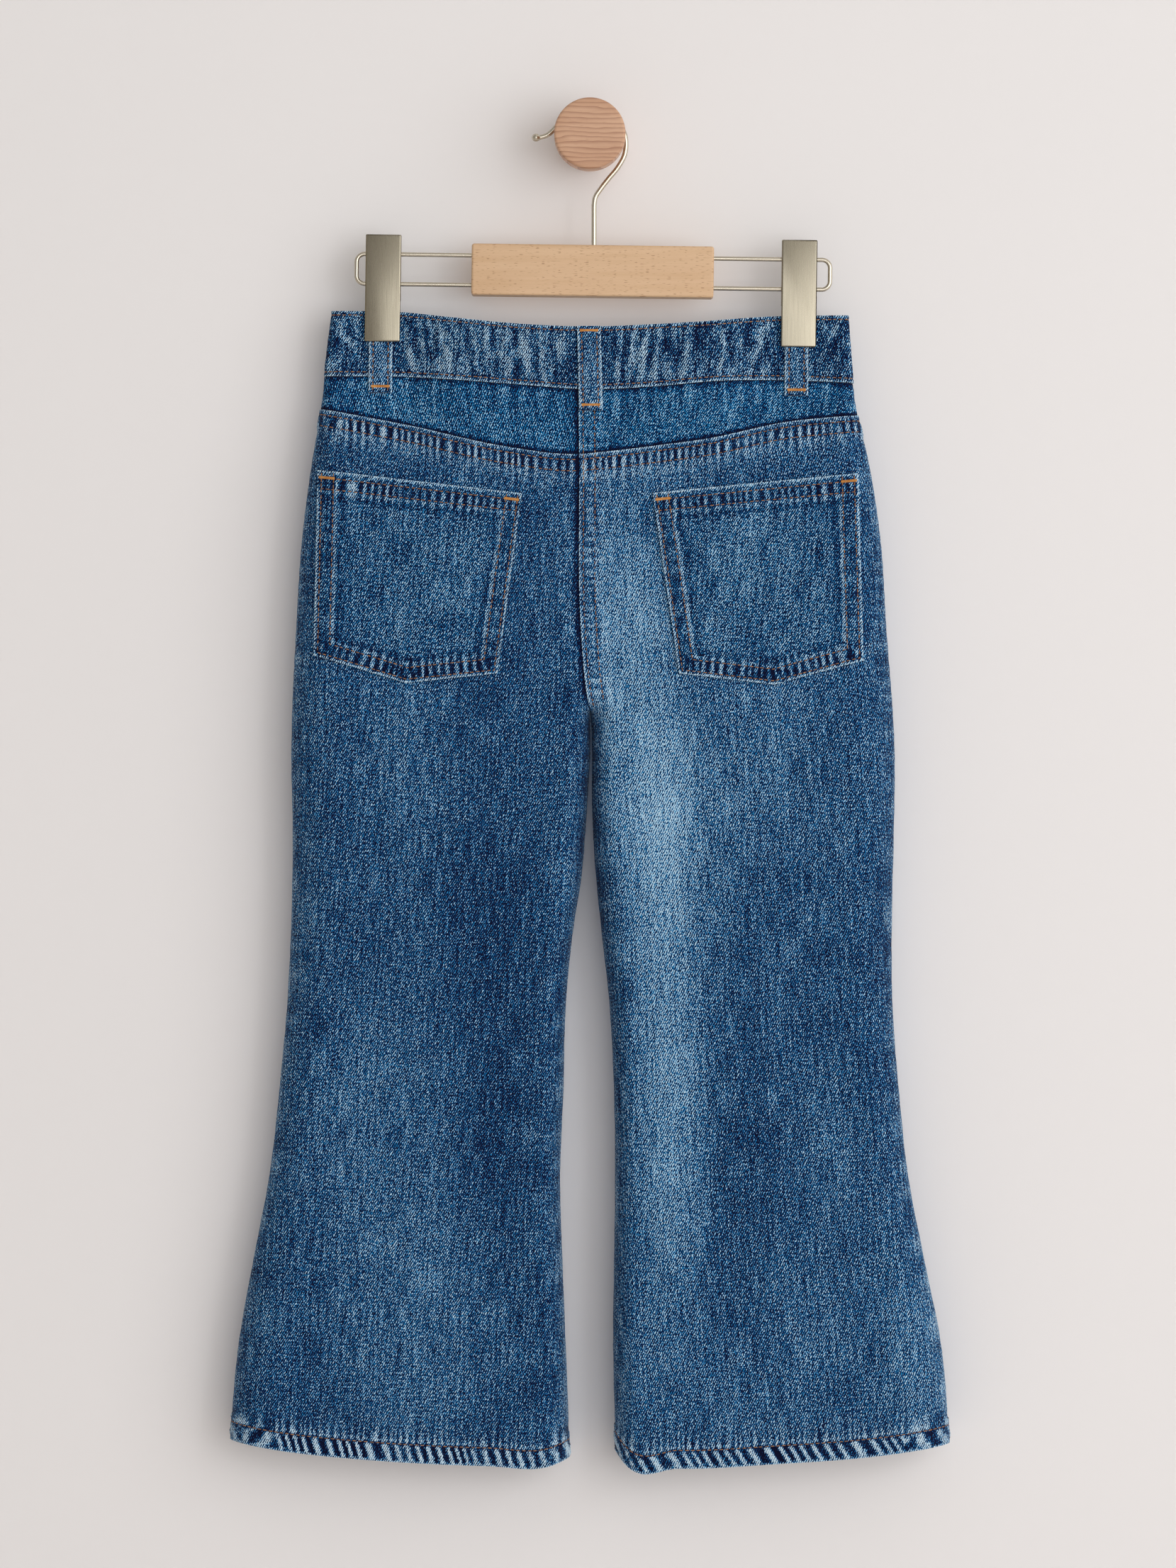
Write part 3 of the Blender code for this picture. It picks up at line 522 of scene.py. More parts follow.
# Diagonal lines: a cosine of U and V over the twill's repeats, bent a little by two noises
parts = twill.nodes.new("ShaderNodeSeparateXYZ")
twill.links.new(uv, parts.inputs[0])
u, v = parts.outputs[0], parts.outputs[1]
wobble = g.math("ADD", g.centred(g.noise(uv, (330.0, 330.0, 0.0)), 1.0),
                g.centred(g.noise(uv, (1500.0, 800.0, 0.0), detail=1.0), 0.9))
phase = g.math("ADD", g.math("SUBTRACT", g.math("DIVIDE", u, TWILL_ACROSS * MM),
                             g.math("DIVIDE", v, TWILL_UP * MM)), wobble)
wave = g.math("COSINE", g.math("MULTIPLY", phase, 2 * math.pi))
yarn = g.math("ABSOLUTE", g.math("SINE", g.math("MULTIPLY", g.math("DIVIDE", u, YARN * MM), math.pi)))
# Noises over U and V, from the yarns' streaks and tufts up to the clouds of the wash
streak = g.noise(uv, (2100.0, 330.0, 0.0), detail=1.0)
slub = g.noise(uv, (800.0, 50.0, 0.0), detail=0.0)
speckle = g.noise(uv, (1750.0, 1150.0, 0.0), detail=1.0)
clouds = g.noise(uv, (30.0, 15.0, 0.0), detail=3.0, roughness=0.55)
band = g.noise(uv, (85.0, 6.0, 0.0), detail=2.0)
worn = inside.outputs["Wear"]
line_height = g.math("ADD", 0.40, g.math("MULTIPLY", g.math("MAXIMUM", worn, 0.0), 0.2))
broken = g.math("ADD", 0.3, g.math("MULTIPLY", speckle, 1.4))
lines = g.math("MULTIPLY", g.math("MULTIPLY", wave, line_height), broken)
tufts = g.noise(uv, (1250.0, 900.0, 0.0), detail=0.0)
fine = g.math("ADD", g.math("ADD", g.centred(streak, 0.7), g.centred(slub, 0.62)),
              g.math("ADD", g.math("ADD", g.centred(speckle, 0.9), g.centred(tufts, 1.45)), lines))
fine = g.math("MULTIPLY", fine, inside.outputs["Contrast"])
broad = g.math("ADD", g.centred(clouds, 0.30), g.centred(band, 0.16))
# Bleach and Wear come from the mesh: fades and wear, and on the back some painted shade and a painted
# highlight, which darken or lighten the tone here.
tone = g.math("ADD", g.math("ADD", inside.outputs["Tone"], broad), inside.outputs["Bleach"])
rough_wear = g.math("MULTIPLY", worn, g.math("ADD", 0.6, g.math("MULTIPLY", speckle, 0.8)))
tone = g.math("ADD", g.math("ADD", tone, g.math("MULTIPLY", rough_wear, 0.5)), fine)
# Strength of the dye: blotches of more and less, and less of it where the cloth is worn
blotch = g.noise(uv, (1000.0, 760.0, 0.0), detail=0.0)
dye = twill.nodes.new("ShaderNodeHueSaturation")
pallor = g.math("MULTIPLY", g.math("MINIMUM", g.math("MAXIMUM", worn, 0.0), 1.5), 0.17)
strength = g.math("ADD", inside.outputs["Dye"], g.centred(blotch, 0.7))
twill.links.new(g.math("SUBTRACT", strength, pallor), dye.inputs["Saturation"])
twill.links.new(g.ramp(tone, INDIGO), dye.inputs["Color"])
reverse_tone = g.math("ADD", 0.5, g.math("ADD", g.centred(speckle, 0.9), g.math("MULTIPLY", wave, -0.25)))
reverse_color = g.ramp(reverse_tone, REVERSE)
color = g.mix(inside.outputs["Reverse"], dye.outputs[0], reverse_color)
height = g.math("ADD", g.math("MULTIPLY", wave, 0.3),
                g.math("ADD", g.math("MULTIPLY", yarn, 0.22), g.math("MULTIPLY", streak, 0.5)))
twill.links.new(color, outside.inputs["Color"])
twill.links.new(g.remap(fine, -0.4, 0.4, 0.92, 0.78), outside.inputs["Roughness"])
twill.links.new(height, outside.inputs["Height"])
print("twill group nodes:", len(twill.nodes))


# %% Denim materials
def denim_material(name, tone, contrast=1.0, dye=1.06):
    """A denim with its own base tone, contrast and dye; wear, fades and painted shade come from the mesh."""
    material, cloth, shader = group_material(name, twill, {"Tone": tone, "Contrast": contrast, "Dye": dye},
                                             0.55, 0.25)
    tree = material.node_tree
    uv_map = tree.nodes.new("ShaderNodeUVMap")
    uv_map.uv_map = "cloth"
    tree.links.new(uv_map.outputs[0], cloth.inputs["UV"])
    for label, attribute in (("Wear", "wear"), ("Bleach", "bleach"), ("Reverse", "reverse")):
        tree.links.new(Graph(tree).attribute(attribute), cloth.inputs[label])
    shader.inputs["Sheen Weight"].default_value = 0.04
    shader.inputs["Sheen Roughness"].default_value = 0.5
    shader.inputs["Specular IOR Level"].default_value = 0.12
    return material


PANEL_DENIM = denim_material("denim_panels", 0.32)
YOKE_DENIM = denim_material("denim_yoke", 0.405, 1.05, 1.26)
BAND_DENIM = denim_material("denim_waistband", 0.285, 1.35, 1.1)
POCKET_DENIM = denim_material("denim_pockets", 0.335, 1.14, 1.12)
LOOP_DENIM = denim_material("denim_loops", 0.40, 1.1)
DENIMS = (PANEL_DENIM, YOKE_DENIM, BAND_DENIM, POCKET_DENIM, LOOP_DENIM)
print("denims:", [material.name for material in DENIMS])

# %% [markdown]
# ## Large fades and painted shade
#
# The jeans were washed pale in the places that stand out on a body: down the middle of each
# thigh, over the seat and on the pockets. On a hung pair these are soft patches. A few patches on
# the back are painted light instead: the dark ones in the troughs of folds and beside the crotch are
# painted shade, and the pale band down the right leg is partly a painted highlight on a fold's
# ridge. They could be painted by hand, but humps are easy to move and compare: each has a centre, a
# width, a height and a strength, and the bleach at a point is their sum.

# %% Bleach and painted shade
# Centre x and z, half width, half height and strength of each patch on the back
# Most patches are fades. The dark ones at x -50 and x 76 are painted shade in fold troughs, the one at x -13,
# z -318 is painted shade beside the crotch, and the pale ones at x 36 to 50 are fading with a painted
# highlight along a fold's ridge.
BACK_FADE_AND_SHADE_PATCHES = [
    (24.0, -262.0, 26.0, 70.0, 0.33),
    (36.0, -372.0, 25.0, 62.0, 0.40),
    (42.0, -500.0, 20.0, 90.0, 0.28),
    (44.0, -600.0, 22.0, 80.0, 0.17),
    (50.0, -440.0, 16.0, 36.0, 0.05),
    (84.0, -300.0, 26.0, 110.0, 0.05),
    (30.0, -212.0, 12.0, 22.0, -0.07),
    (8.0, -290.0, 9.0, 60.0, 0.06),
    (96.0, -350.0, 60.0, 60.0, 0.08),
    (98.0, -245.0, 34.0, 34.0, 0.11),
    (80.0, -172.0, 44.0, 14.0, 0.06),
    (110.0, -690.0, 70.0, 60.0, 0.08),
    (178.0, -665.0, 20.0, 54.0, 0.15),
    (132.0, -545.0, 20.0, 70.0, 0.08),
    (76.0, -600.0, 22.0, 110.0, -0.04),
    (166.0, -430.0, 16.0, 130.0, -0.06),
    (120.0, -470.0, 46.0, 60.0, -0.03),
    (-13.0, -172.0, 9.0, 24.0, -0.08),
    (-139.0, -176.0, 18.0, 20.0, -0.09),
    (-13.0, -318.0, 10.0, 26.0, -0.11),
    (-15.0, -408.0, 9.0, 26.0, 0.12),
    (-74.0, -280.0, 14.0, 50.0, -0.05),
    (-106.0, -262.0, 30.0, 40.0, 0.09),
    (-84.0, -335.0, 62.0, 46.0, 0.06),
    (-50.0, -470.0, 24.0, 190.0, -0.13),
    (-120.0, -530.0, 26.0, 50.0, 0.11),
    (-90.0, -640.0, 40.0, 76.0, 0.12),
    (-92.0, -430.0, 62.0, 40.0, -0.04),
]


def back_fades_and_shade(x, z):
    """Sum of the patches: each is its strength times a bell across and a bell down."""
    total = np.zeros(np.broadcast(x, z).shape)
    for centre_x, centre_z, wide, tall, strength in BACK_FADE_AND_SHADE_PATCHES:
        total = total + strength * bell(x - centre_x, wide) * bell(z - centre_z, tall)
    return total


def front_bleach(x, z):
    """The hidden front fades alike: a pale band down the middle of each thigh and knee."""
    thigh = bell(np.abs(x) - 84.0, 40.0) * bell(z + 400.0, 130.0)
    knee = bell(np.abs(x) - 88.0, 34.0) * bell(z + 560.0, 60.0)
    return 0.26 * thigh + 0.14 * knee


print("bleach on the right thigh:", round(float(back_fades_and_shade(36.0, -372.0)), 2))

# %% [markdown]
# ## Seam relief
#
# A felled seam is two layers folded over and sewn down twice. It stands up as a strip, its fold
# is a worn pale lip, the stitches sink in, and between the rows the cloth puffs up in puckers.
# A hem is folded twice and sewn once, and it twists as it is washed, so its puckers lie at a slant.
# Sculpting could give such forms, but then the wear would have to be painted to fit. Each function
# below gives two numbers over the cloth: how far it is lifted, and how worn it is.

# %% Strips, hems and rows
FELL_WIDTH, FELL_LIFT = 10.5, 0.75
YOKE_ROWS, CENTRE_ROWS = (3.0, 9.2), (2.5, 8.8)
HEM_WIDTH, HEM_LIFT, HEM_ROW = 11.5, 0.6, 10.0
ROW_WIDTH, ROW_DEPTH = 0.75, 0.34


def strip_relief(along, inside_edge, rows, spacing, seed, strength=1.0):
    """Relief of a sewn strip: a step, a groove for each row, and puckers between the rows."""
    wave = pucker(along, spacing, seed)
    teeth = pucker(along, 2.3, seed + 5)
    on_strip = 1.0 - fade(FELL_WIDTH - 0.6, FELL_WIDTH + 1.6, inside_edge)
    groove = sum(bell(inside_edge - row, ROW_WIDTH) for row in rows)
    between = (fade(rows[0] - 1.5, rows[0] + 1.2, inside_edge)
               * (1.0 - fade(rows[1] - 1.2, rows[1] + 1.5, inside_edge)))
    spill = bell(inside_edge - FELL_WIDTH - 1.0, 4.0)
    lip = bell(inside_edge, 0.9)
    lift = (FELL_LIFT * on_strip - ROW_DEPTH * groove * on_strip
            + strength * (0.30 * wave * between + 0.14 * wave * spill))
    streaks = np.maximum(pucker(along, spacing, seed, sharp=1.5) + 0.2, 0.0)
    wear = (1.1 * lip * (0.75 + 0.5 * teeth) + strength * (1.5 * wave * between + 0.9 * streaks * spill)
            - 0.6 * groove + 0.1 * on_strip - 0.12 * strength * between)
    return lift, wear


def hem_relief(along, above, leg, seed):
    """Relief of a twisted hem: slanting puckers below its row, and short ones above it."""
    slant, spacing, sharp = (0.32, 5.9, 1.6) if leg < 0 else (0.62, 6.9, 1.9)
    wave = pucker(along + slant * above, spacing, seed, drift=1.2, sharp=sharp) + 0.15
    on_hem = 1.0 - fade(HEM_WIDTH - 0.3, HEM_WIDTH + 1.5, above)
    body = fade(0.0, 2.0, above) * (1.0 - fade(HEM_ROW - 1.2, HEM_ROW, above))
    spill = fade(HEM_ROW, HEM_ROW + 1.0, above) * bell(above - HEM_ROW, 7.0)
    groove = bell(above - HEM_ROW, ROW_WIDTH)
    fine = pucker(along, 3.4, seed + 9)
    lift = HEM_LIFT * on_hem - ROW_DEPTH * groove + 0.5 * wave * body + 0.22 * fine * spill
    wear = (2.6 * wave * body + 0.1 * body + 0.9 * bell(above, 1.0) + 1.3 * fine * spill
            + 0.5 * bell(above - HEM_ROW - 1.6, 1.2) - 0.8 * groove)
    return lift, wear


def seam_edge(distance, along, seed, spacing=8.0):
    """Slight puckers beside a plain seam, such as a side seam or an inseam."""
    wave = pucker(along, spacing, seed)
    near = bell(distance, 6.0)
    return 0.16 * wave * near, 0.35 * wave * near + 0.22 * bell(distance, 1.2)


print("felled strip and hem:", FELL_WIDTH, HEM_WIDTH, "mm wide")

# %% Soft folds
# Foot x and z, head x and z, half width and height in mm of each soft fold on the back
BACK_FOLDS = [
    (-50.0, -660.0, -52.0, -380.0, 20.0, -0.7), (-104.0, -560.0, -112.0, -430.0, 18.0, 0.4),
    (46.0, -640.0, 34.0, -340.0, 20.0, 0.6), (80.0, -650.0, 88.0, -430.0, 17.0, -0.6),
    (-44.0, -400.0, -8.0, -326.0, 8.0, -0.4), (40.0, -390.0, 8.0, -326.0, 8.0, -0.35),
    (-168.0, -620.0, -150.0, -520.0, 12.0, -0.35), (160.0, -640.0, 146.0, -530.0, 12.0, -0.35)]
FRONT_FOLDS = [
    (-46.0, -650.0, -50.0, -390.0, 19.0, -0.6), (52.0, -645.0, 48.0, -370.0, 20.0, 0.5),
    (-96.0, -600.0, -92.0, -420.0, 20.0, 0.5), (96.0, -640.0, 90.0, -440.0, 18.0, -0.5),
    (-70.0, -372.0, -8.0, -324.0, 8.0, -0.5), (64.0, -366.0, 9.0, -324.0, 8.0, -0.5),
    (-120.0, -300.0, -78.0, -262.0, 9.0, -0.3)]


def soft_folds(x, z, folds):
    """Sum of straight folds: height times a bell of the distance to the line, eased at both ends."""
    total = np.zeros(np.broadcast(x, z).shape)
    for foot_x, foot_z, head_x, head_z, width, height in folds:
        length = math.hypot(head_x - foot_x, head_z - foot_z)
        along_x, along_z = (head_x - foot_x) / length, (head_z - foot_z) / length
        along = (x - foot_x) * along_x + (z - foot_z) * along_z
        aside = (x - foot_x) * along_z - (z - foot_z) * along_x
        ends = fade(-0.15 * length, 0.2 * length, along) * fade(1.15 * length, 0.8 * length, along)
        total = total + height * bell(aside, width) * ends
    return total


def drape(x, z, seed):
    """Slight uneven waves down the legs, under 0.5 mm deep, fading out towards the hips."""
    leg = np.where(x < CROTCH_X, 0.0, 40.0)
    waves = patchy((x + 0.06 * (z - CROTCH_Z) * np.sign(x)) / 26.0 + leg, z / 150.0 + 9.0, seed)
    return 0.45 * waves * fade(-300.0, -420.0, z)


def eased_folds(x, z, seed, folds, outer, inner, hem_above):
    """Drape and soft folds, eased out towards the side seam, the inseam and the hem."""
    total = drape(x, z, seed) + soft_folds(x, z, folds)
    return total * fade(0.0, 18.0, outer) * fade(0.0, 18.0, inner) * fade(2.0, 30.0, hem_above)


print("soft folds:", len(BACK_FOLDS), "on the back,", len(FRONT_FOLDS), "on the front")

# %% [markdown]
# ## The leg panels
#
# Each leg is a back panel and a front panel, from the yoke or the band down to the hem. An even
# grid cut off at the outline would leave ragged seams, so the grid is fitted to the piece. Rows
# follow the yoke's seam at the top, run level at the crotch and follow the hem at the bottom.
# Columns run from the side seam to the centre seam, and below the crotch to the inseam. They are
# closer together on the rolled edges, at equal angles of the quarter turn.

# %% Panel grids
def roll_steps(count):
    """Widths, as shares of a roll, where a quarter turn is cut into equal angles."""
    return 1.0 - np.cos(np.linspace(0.0, math.pi / 2, count + 1))


def panel_grid(leg, side, spans, flat_columns, roll_columns):
    """Grids of x and z. A row's height is a blend of two edges by its share, plus its offset."""
    steps = roll_steps(roll_columns)
    shares = np.linspace(0.0, 1.0, flat_columns + 1)[1:-1]
    to_inner = np.concatenate([np.zeros_like(steps), shares, np.ones_like(steps)])
    outer_roll = np.concatenate([steps, 1.0 - shares, np.zeros_like(steps)])
    inner_roll = np.concatenate([np.zeros_like(steps), shares, steps[::-1]])
    count = sum(len(rows) for _, _, rows in spans)
    z = np.tile(np.linspace(-140.0, -720.0, count)[:, None], (1, len(to_inner)))
    seam = CENTRE_BACK if side < 0 else CENTRE_FRONT
    for _ in range(12):
        roll = curve(DEPTH, z)
        outer = curve(OUTLINE, z, 1 if leg < 0 else 2)
        inner = np.where(z > CROTCH_Z + 0.01, curve(seam, z) + leg * SEAM_GAP / 2,
                         curve(INSEAM, z, 1 if leg < 0 else 2))
        x = (outer * (1.0 - to_inner) + inner * to_inner
             - leg * roll * (OUTER_ROLL * outer_roll - INNER_ROLL * inner_roll))
        blocks, start = [], 0
        for upper, lower, rows in spans:
            share, offset = np.array(rows).T[:, :, None]
            part = x[start:start + len(rows)]
            blocks.append(upper(part) * (1.0 - share) + lower(part) * share + offset)
            start += len(rows)
        z = np.concatenate(blocks)
    return x, z


def panel_normals(points, x, z, leg, side):
    """Grid normals, made square to the seams along the panel's two long edges."""
    normals = grid_normals(points, side)
    normals[:, 0, 1] = 0.0
    above, crotch = z[:, -1] > CROTCH_Z + 0.01, np.abs(z[:, -1] - CROTCH_Z) < 0.01
    normals[above, -1, 0] = 0.0
    normals[~above, -1, 1] = 0.0
    normals[crotch, -1] = (-leg, 0.0, -1.0)
    return unit(normals)


def even(count, start=0.0, end=1.0):
    """Rows at equal shares of a span."""
    return [(share, 0.0) for share in np.linspace(start, end, count + 1)]


def steps_down(*places):
    """Rows at fixed distances below the upper edge."""
    return [(0.0, -place) for place in places]


print("shares of a roll in three steps:", np.round(roll_steps(3), 2))


# %% Relief of the panels
LEG_SPLAY = math.tan(math.radians(3.5))
CENTRE_SPACING, CENTRE_SEED, CENTRE_PUCKERS = 5.2, 47, 0.3
STRIP_REACH, HEM_REACH = 30.0, 40.0


def from_side(leg, x, z):
    """Distance inwards from a leg's side seam."""
    return x - curve(OUTLINE, z, 1) if leg < 0 else curve(OUTLINE, z, 2) - x


def from_inseam(leg, x, z):
    """Distance inwards from a leg's inseam."""
    return curve(INSEAM, z, 1) - x if leg < 0 else x - curve(INSEAM, z, 2)


def centre_strip(x, z):
    """Lift and wear of the strip along the centre back seam, on the right of it."""
    across = np.maximum(x - curve(CENTRE_BACK, z), 0.0)
    return strip_relief(z, across, CENTRE_ROWS, CENTRE_SPACING, CENTRE_SEED, strength=CENTRE_PUCKERS)


def back_relief(leg, x, z):
    """Lift and wear over a back panel: yoke strip, centre strip, hem, plain seams, drape and painted shade.
    """
    below = np.maximum(curve(YOKE, x) - SEAM_GAP - z, 0.0)
    lift, wear = strip_relief(x, below, YOKE_ROWS, 4.6, 31 + leg)
    in_strip = 1.0 - fade(FELL_WIDTH, FELL_WIDTH + 6.0, below)
    lift, wear = lift * (below < STRIP_REACH), wear * (below < STRIP_REACH)
    across = x - curve(CENTRE_BACK, z)
    over_crotch = fade(CROTCH_Z + 1.0, CROTCH_Z + 10.0, z)
    if leg > 0:
        centre_lift, centre_wear = centre_strip(x, z)
        share = over_crotch * (1.0 - in_strip)
        near = across < STRIP_REACH
        lift = lift + centre_lift * share * near
        wear = wear + centre_wear * share * near
        lift = np.maximum(lift, FELL_LIFT * (across < FELL_WIDTH) * in_strip * (below < 8.0))
    else:
        # Painted shadow: a dark line on the left panel beside the centre seam's fold.
        wear = wear - 1.4 * bell(across, 2.4) * over_crotch
    hem_above = z - curve(HEMS[leg], x)
    hem_lift, hem_wear = hem_relief(x, np.maximum(hem_above, 0.0), leg, 61 + leg)
    near_hem = hem_above < HEM_REACH
    outer, inner = from_side(leg, x, z), np.where(z < CROTCH_Z, from_inseam(leg, x, z), 60.0)
    side_lift, side_wear = seam_edge(outer, z, 71 + leg)
    inner_lift, inner_wear = seam_edge(inner, z, 83 + leg)
    folds = eased_folds(x, z, 5 + leg, BACK_FOLDS, outer, inner, hem_above)
    lift = lift + hem_lift * near_hem + side_lift + inner_lift + folds
    # Painted shade along the inseam, darkest near the crotch.
    shaded = 0.5 * bell(inner, 5.0) * fade(-560.0, -330.0, z)
    wear = wear + hem_wear * near_hem + side_wear + inner_wear - shaded
    return lift, wear


def front_relief(leg, x, z):
    """Lift and wear over a front panel: the hem, plain seams and drape."""
    hem_above = z - curve(HEMS[leg], x) - FRONT_HEM_RISE
    lift, wear = hem_relief(x, np.maximum(hem_above, 0.0), -leg, 65 + leg)
    near_hem = hem_above < HEM_REACH
    outer = from_side(leg, x, z)
    inner = np.where(z < CROTCH_Z, from_inseam(leg, x, z), np.abs(x - CROTCH_X))
    side_lift, side_wear = seam_edge(outer, z, 71 + leg)
    inner_lift, inner_wear = seam_edge(inner, z, 93 + leg, 7.0)
    folds = eased_folds(x, z, 15 + leg, FRONT_FOLDS, outer, inner, hem_above)
    return lift * near_hem + side_lift + inner_lift + folds, wear * near_hem + side_wear + inner_wear


print("legs splay by", round(LEG_SPLAY, 3), "of their length")

# %% Build the leg panels
LEG_FLAT_COLUMNS, LEG_ROLL_COLUMNS = 116, 9
FINE_STEPS = (0.0, 0.5, 1.2, 2.0, 2.9, 3.8, 4.9, 6.0, 7.1, 8.2, 9.2, 10.2, 11.2, 12.4, 14.0)
HEM_STEPS = (17.0, 15.5, 14.0, 12.8, 11.8, 10.9, 10.0, 9.1, 8.0, 6.8, 5.6, 4.4, 3.2, 2.0, 1.0, 0.4, 0.0)
panels = {}
for leg, hand in ((-1, "left"), (1, "right")):
    for side, face in ((-1, "back"), (1, "front")):
        seam_above = (lambda x: curve(YOKE, x)) if side < 0 else waist_edge(2, 1)
        top = (lambda x, edge=seam_above: edge(x) - SEAM_GAP)
        hem = (lambda x, leg=leg, rise_by=FRONT_HEM_RISE * (side > 0): curve(HEMS[leg], x) + rise_by)
        level = (lambda x: np.full_like(x, CROTCH_Z))
        upper_rows = steps_down(*FINE_STEPS) + even(62, 0.12, 0.985)
        lower_rows = even(66, 0.0, 0.95) + [(1.0, step) for step in HEM_STEPS]
        x, z = panel_grid(leg, side, [(top, level, upper_rows), (level, hem, lower_rows)],
                          LEG_FLAT_COLUMNS, LEG_ROLL_COLUMNS)
        points = surface(x, z, side)
        lift, wear = (back_relief if side < 0 else front_relief)(leg, x, z)
        bleach = (back_fades_and_shade if side < 0 else front_bleach)(x, z)
        apart = np.array([500.0 * (leg + 1) + 250.0 * side, 0.0])
        uv_grid = arc_uv(points, x, leg * LEG_SPLAY, side) + apart
        name = f"{face}_{hand}"
        panels[name] = add_wall(f"{name}_panel", points, panel_normals(points, x, z, leg, side), lift, -CLOTH,
                                uv_grid, wear, bleach, PANEL_DENIM)
        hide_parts(name)
        print(name, "panel:", points.shape[:2], "grid")

# %% [markdown]
# ## The yoke
#
# The yoke is the curved piece between the band and the seat, in two halves. It shapes the back
# without darts. The band's elastic draws its upper edge into faint gathers, and its lower edge
# dives under the felled strip. A dark line of painted shade runs along that lower edge, and another
# under the band's edge. It could be part of the panels' grids, but a piece of its own has its own
# weave direction, as the cut piece does.

# %% Gathers
GATHERS, GATHER_HEIGHT, GATHER_SEED, BAND_ROLL = 30, 0.8, 7, 0.035


def gather_edges():
    """Uneven places round the back where one gather ends and the next begins, and heights."""
    draws = np.random.default_rng(GATHER_SEED)
    widths = draws.uniform(0.6, 1.4, GATHERS)
    heights = draws.uniform(0.45, 1.0, GATHERS)
    edges = np.concatenate([[0.0], np.cumsum(widths)]) / widths.sum()
    return BAND_ROLL + (1.0 - 2 * BAND_ROLL) * edges, heights


def gather_wave(share):
    """One rounded ridge between each pair of gather edges: sine squared times its height."""
    edges, heights = gather_edges()
    index = np.clip(np.searchsorted(edges, share, side="right") - 1, 0, GATHERS - 1)
    inside_share = np.clip((share - edges[index]) / (edges[index + 1] - edges[index]), 0.0, 1.0)
    return np.sin(math.pi * inside_share) ** 2 * heights[index]


def back_share(x, z):
    """Share of the way round the back, from the right side fold to the left one."""
    left, right = curve(OUTLINE, z, 1), curve(OUTLINE, z, 2)
    return (right - x) / (right - left)


def quiet(x):
    """1 on the open band and 0 under the clips and the centre loop, where it is held flat."""
    calm = np.ones_like(x)
    for centre in (-CLIP_X, 0.0, CLIP_X):
        calm = calm * fade(CLIP_WIDTH / 2 + 0.5, CLIP_WIDTH / 2 + 6.0, np.abs(x - centre))
    return calm


print("gathers:", GATHERS, "with edges from and to:", gather_edges()[0][[0, -1]])

# %% Build the yokes
yokes = {}
for leg, hand in ((-1, "left"), (1, "right")):
    top = (lambda x: curve(WAIST, x, 2) - SEAM_GAP)
    bottom = (lambda x: curve(YOKE, x))
    rows = steps_down(0.0, 0.8, 1.8, 3.2, 5.0) + even(14, 0.33, 0.96) + [(1.0, 0.4), (1.0, 0.0)]
    x, z = panel_grid(leg, -1, [(top, bottom, rows)], LEG_FLAT_COLUMNS, LEG_ROLL_COLUMNS)
    points = surface(x, z, -1)
    below_band, above_seam = curve(WAIST, x, 2) - z, z - curve(YOKE, x)
    wave = (gather_wave(back_share(x, z)) - 0.4) * quiet(x)
    lift = 0.4 * wave * bell(below_band, 12.0)
    # Worn pale ridges of the gathers, with painted shade: a dark line under the band's edge and one along the
    # lower edge, where the yoke goes under the strip.
    wear = 0.8 * wave * bell(below_band, 12.0) - 0.9 * bell(below_band, 1.8) - 1.5 * bell(above_seam, 1.4)
    across = x - curve(CENTRE_BACK, z)
    if leg > 0:
        centre_lift, centre_wear = centre_strip(x, z)
        near = across < STRIP_REACH
        lift, wear = lift + centre_lift * near, wear + centre_wear * near
    else:
        # Painted shadow: a dark line beside the centre seam's fold.
        wear = wear - 1.5 * bell(across, 2.2)
    side_lift, side_wear = seam_edge(from_side(leg, x, z), z, 71 + leg)
    wear = wear + side_wear + 0.12 * patchy(x / 6.0 + 50.0, z / 5.0 + 60.0, 17 + leg)
    uv_grid = arc_uv(points, x, -0.16 * leg, -1) + np.array([3000.0 + 500.0 * leg, 0.0])
    yokes[hand] = add_wall(f"yoke_{hand}_half", points, panel_normals(points, x, z, leg, -1),
                           lift + side_lift, -CLOTH, uv_grid, wear, 0.0, YOKE_DENIM)
    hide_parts(f"yoke_{hand}")
    print("yoke", hand, points.shape[:2])

# %% [markdown]
# ## The waistband
#
# The band is one long strip folded over an elastic, with its ends at the front. The elastic is
# shorter than the cloth, so the back gathers into about thirty uneven ridges that run from the
# upper row of stitches to the lower one. The clips press it flat. The ridges are the same as in
# the frame, and finer wrinkles are added between them. The wear bends to and fro over the ridges
# and fans out towards the ends, because the clips pull the cloth sideways, and a regular wave
# would look like pleats.

# %% Relief of the waistband
BAND_LIFT, BAND_WALL = 0.5, 1.8
BAND_TOP_ROW, BAND_BOTTOM_ROW, BAND_MIDDLE_Z = 2.2, 2.4, -118.0


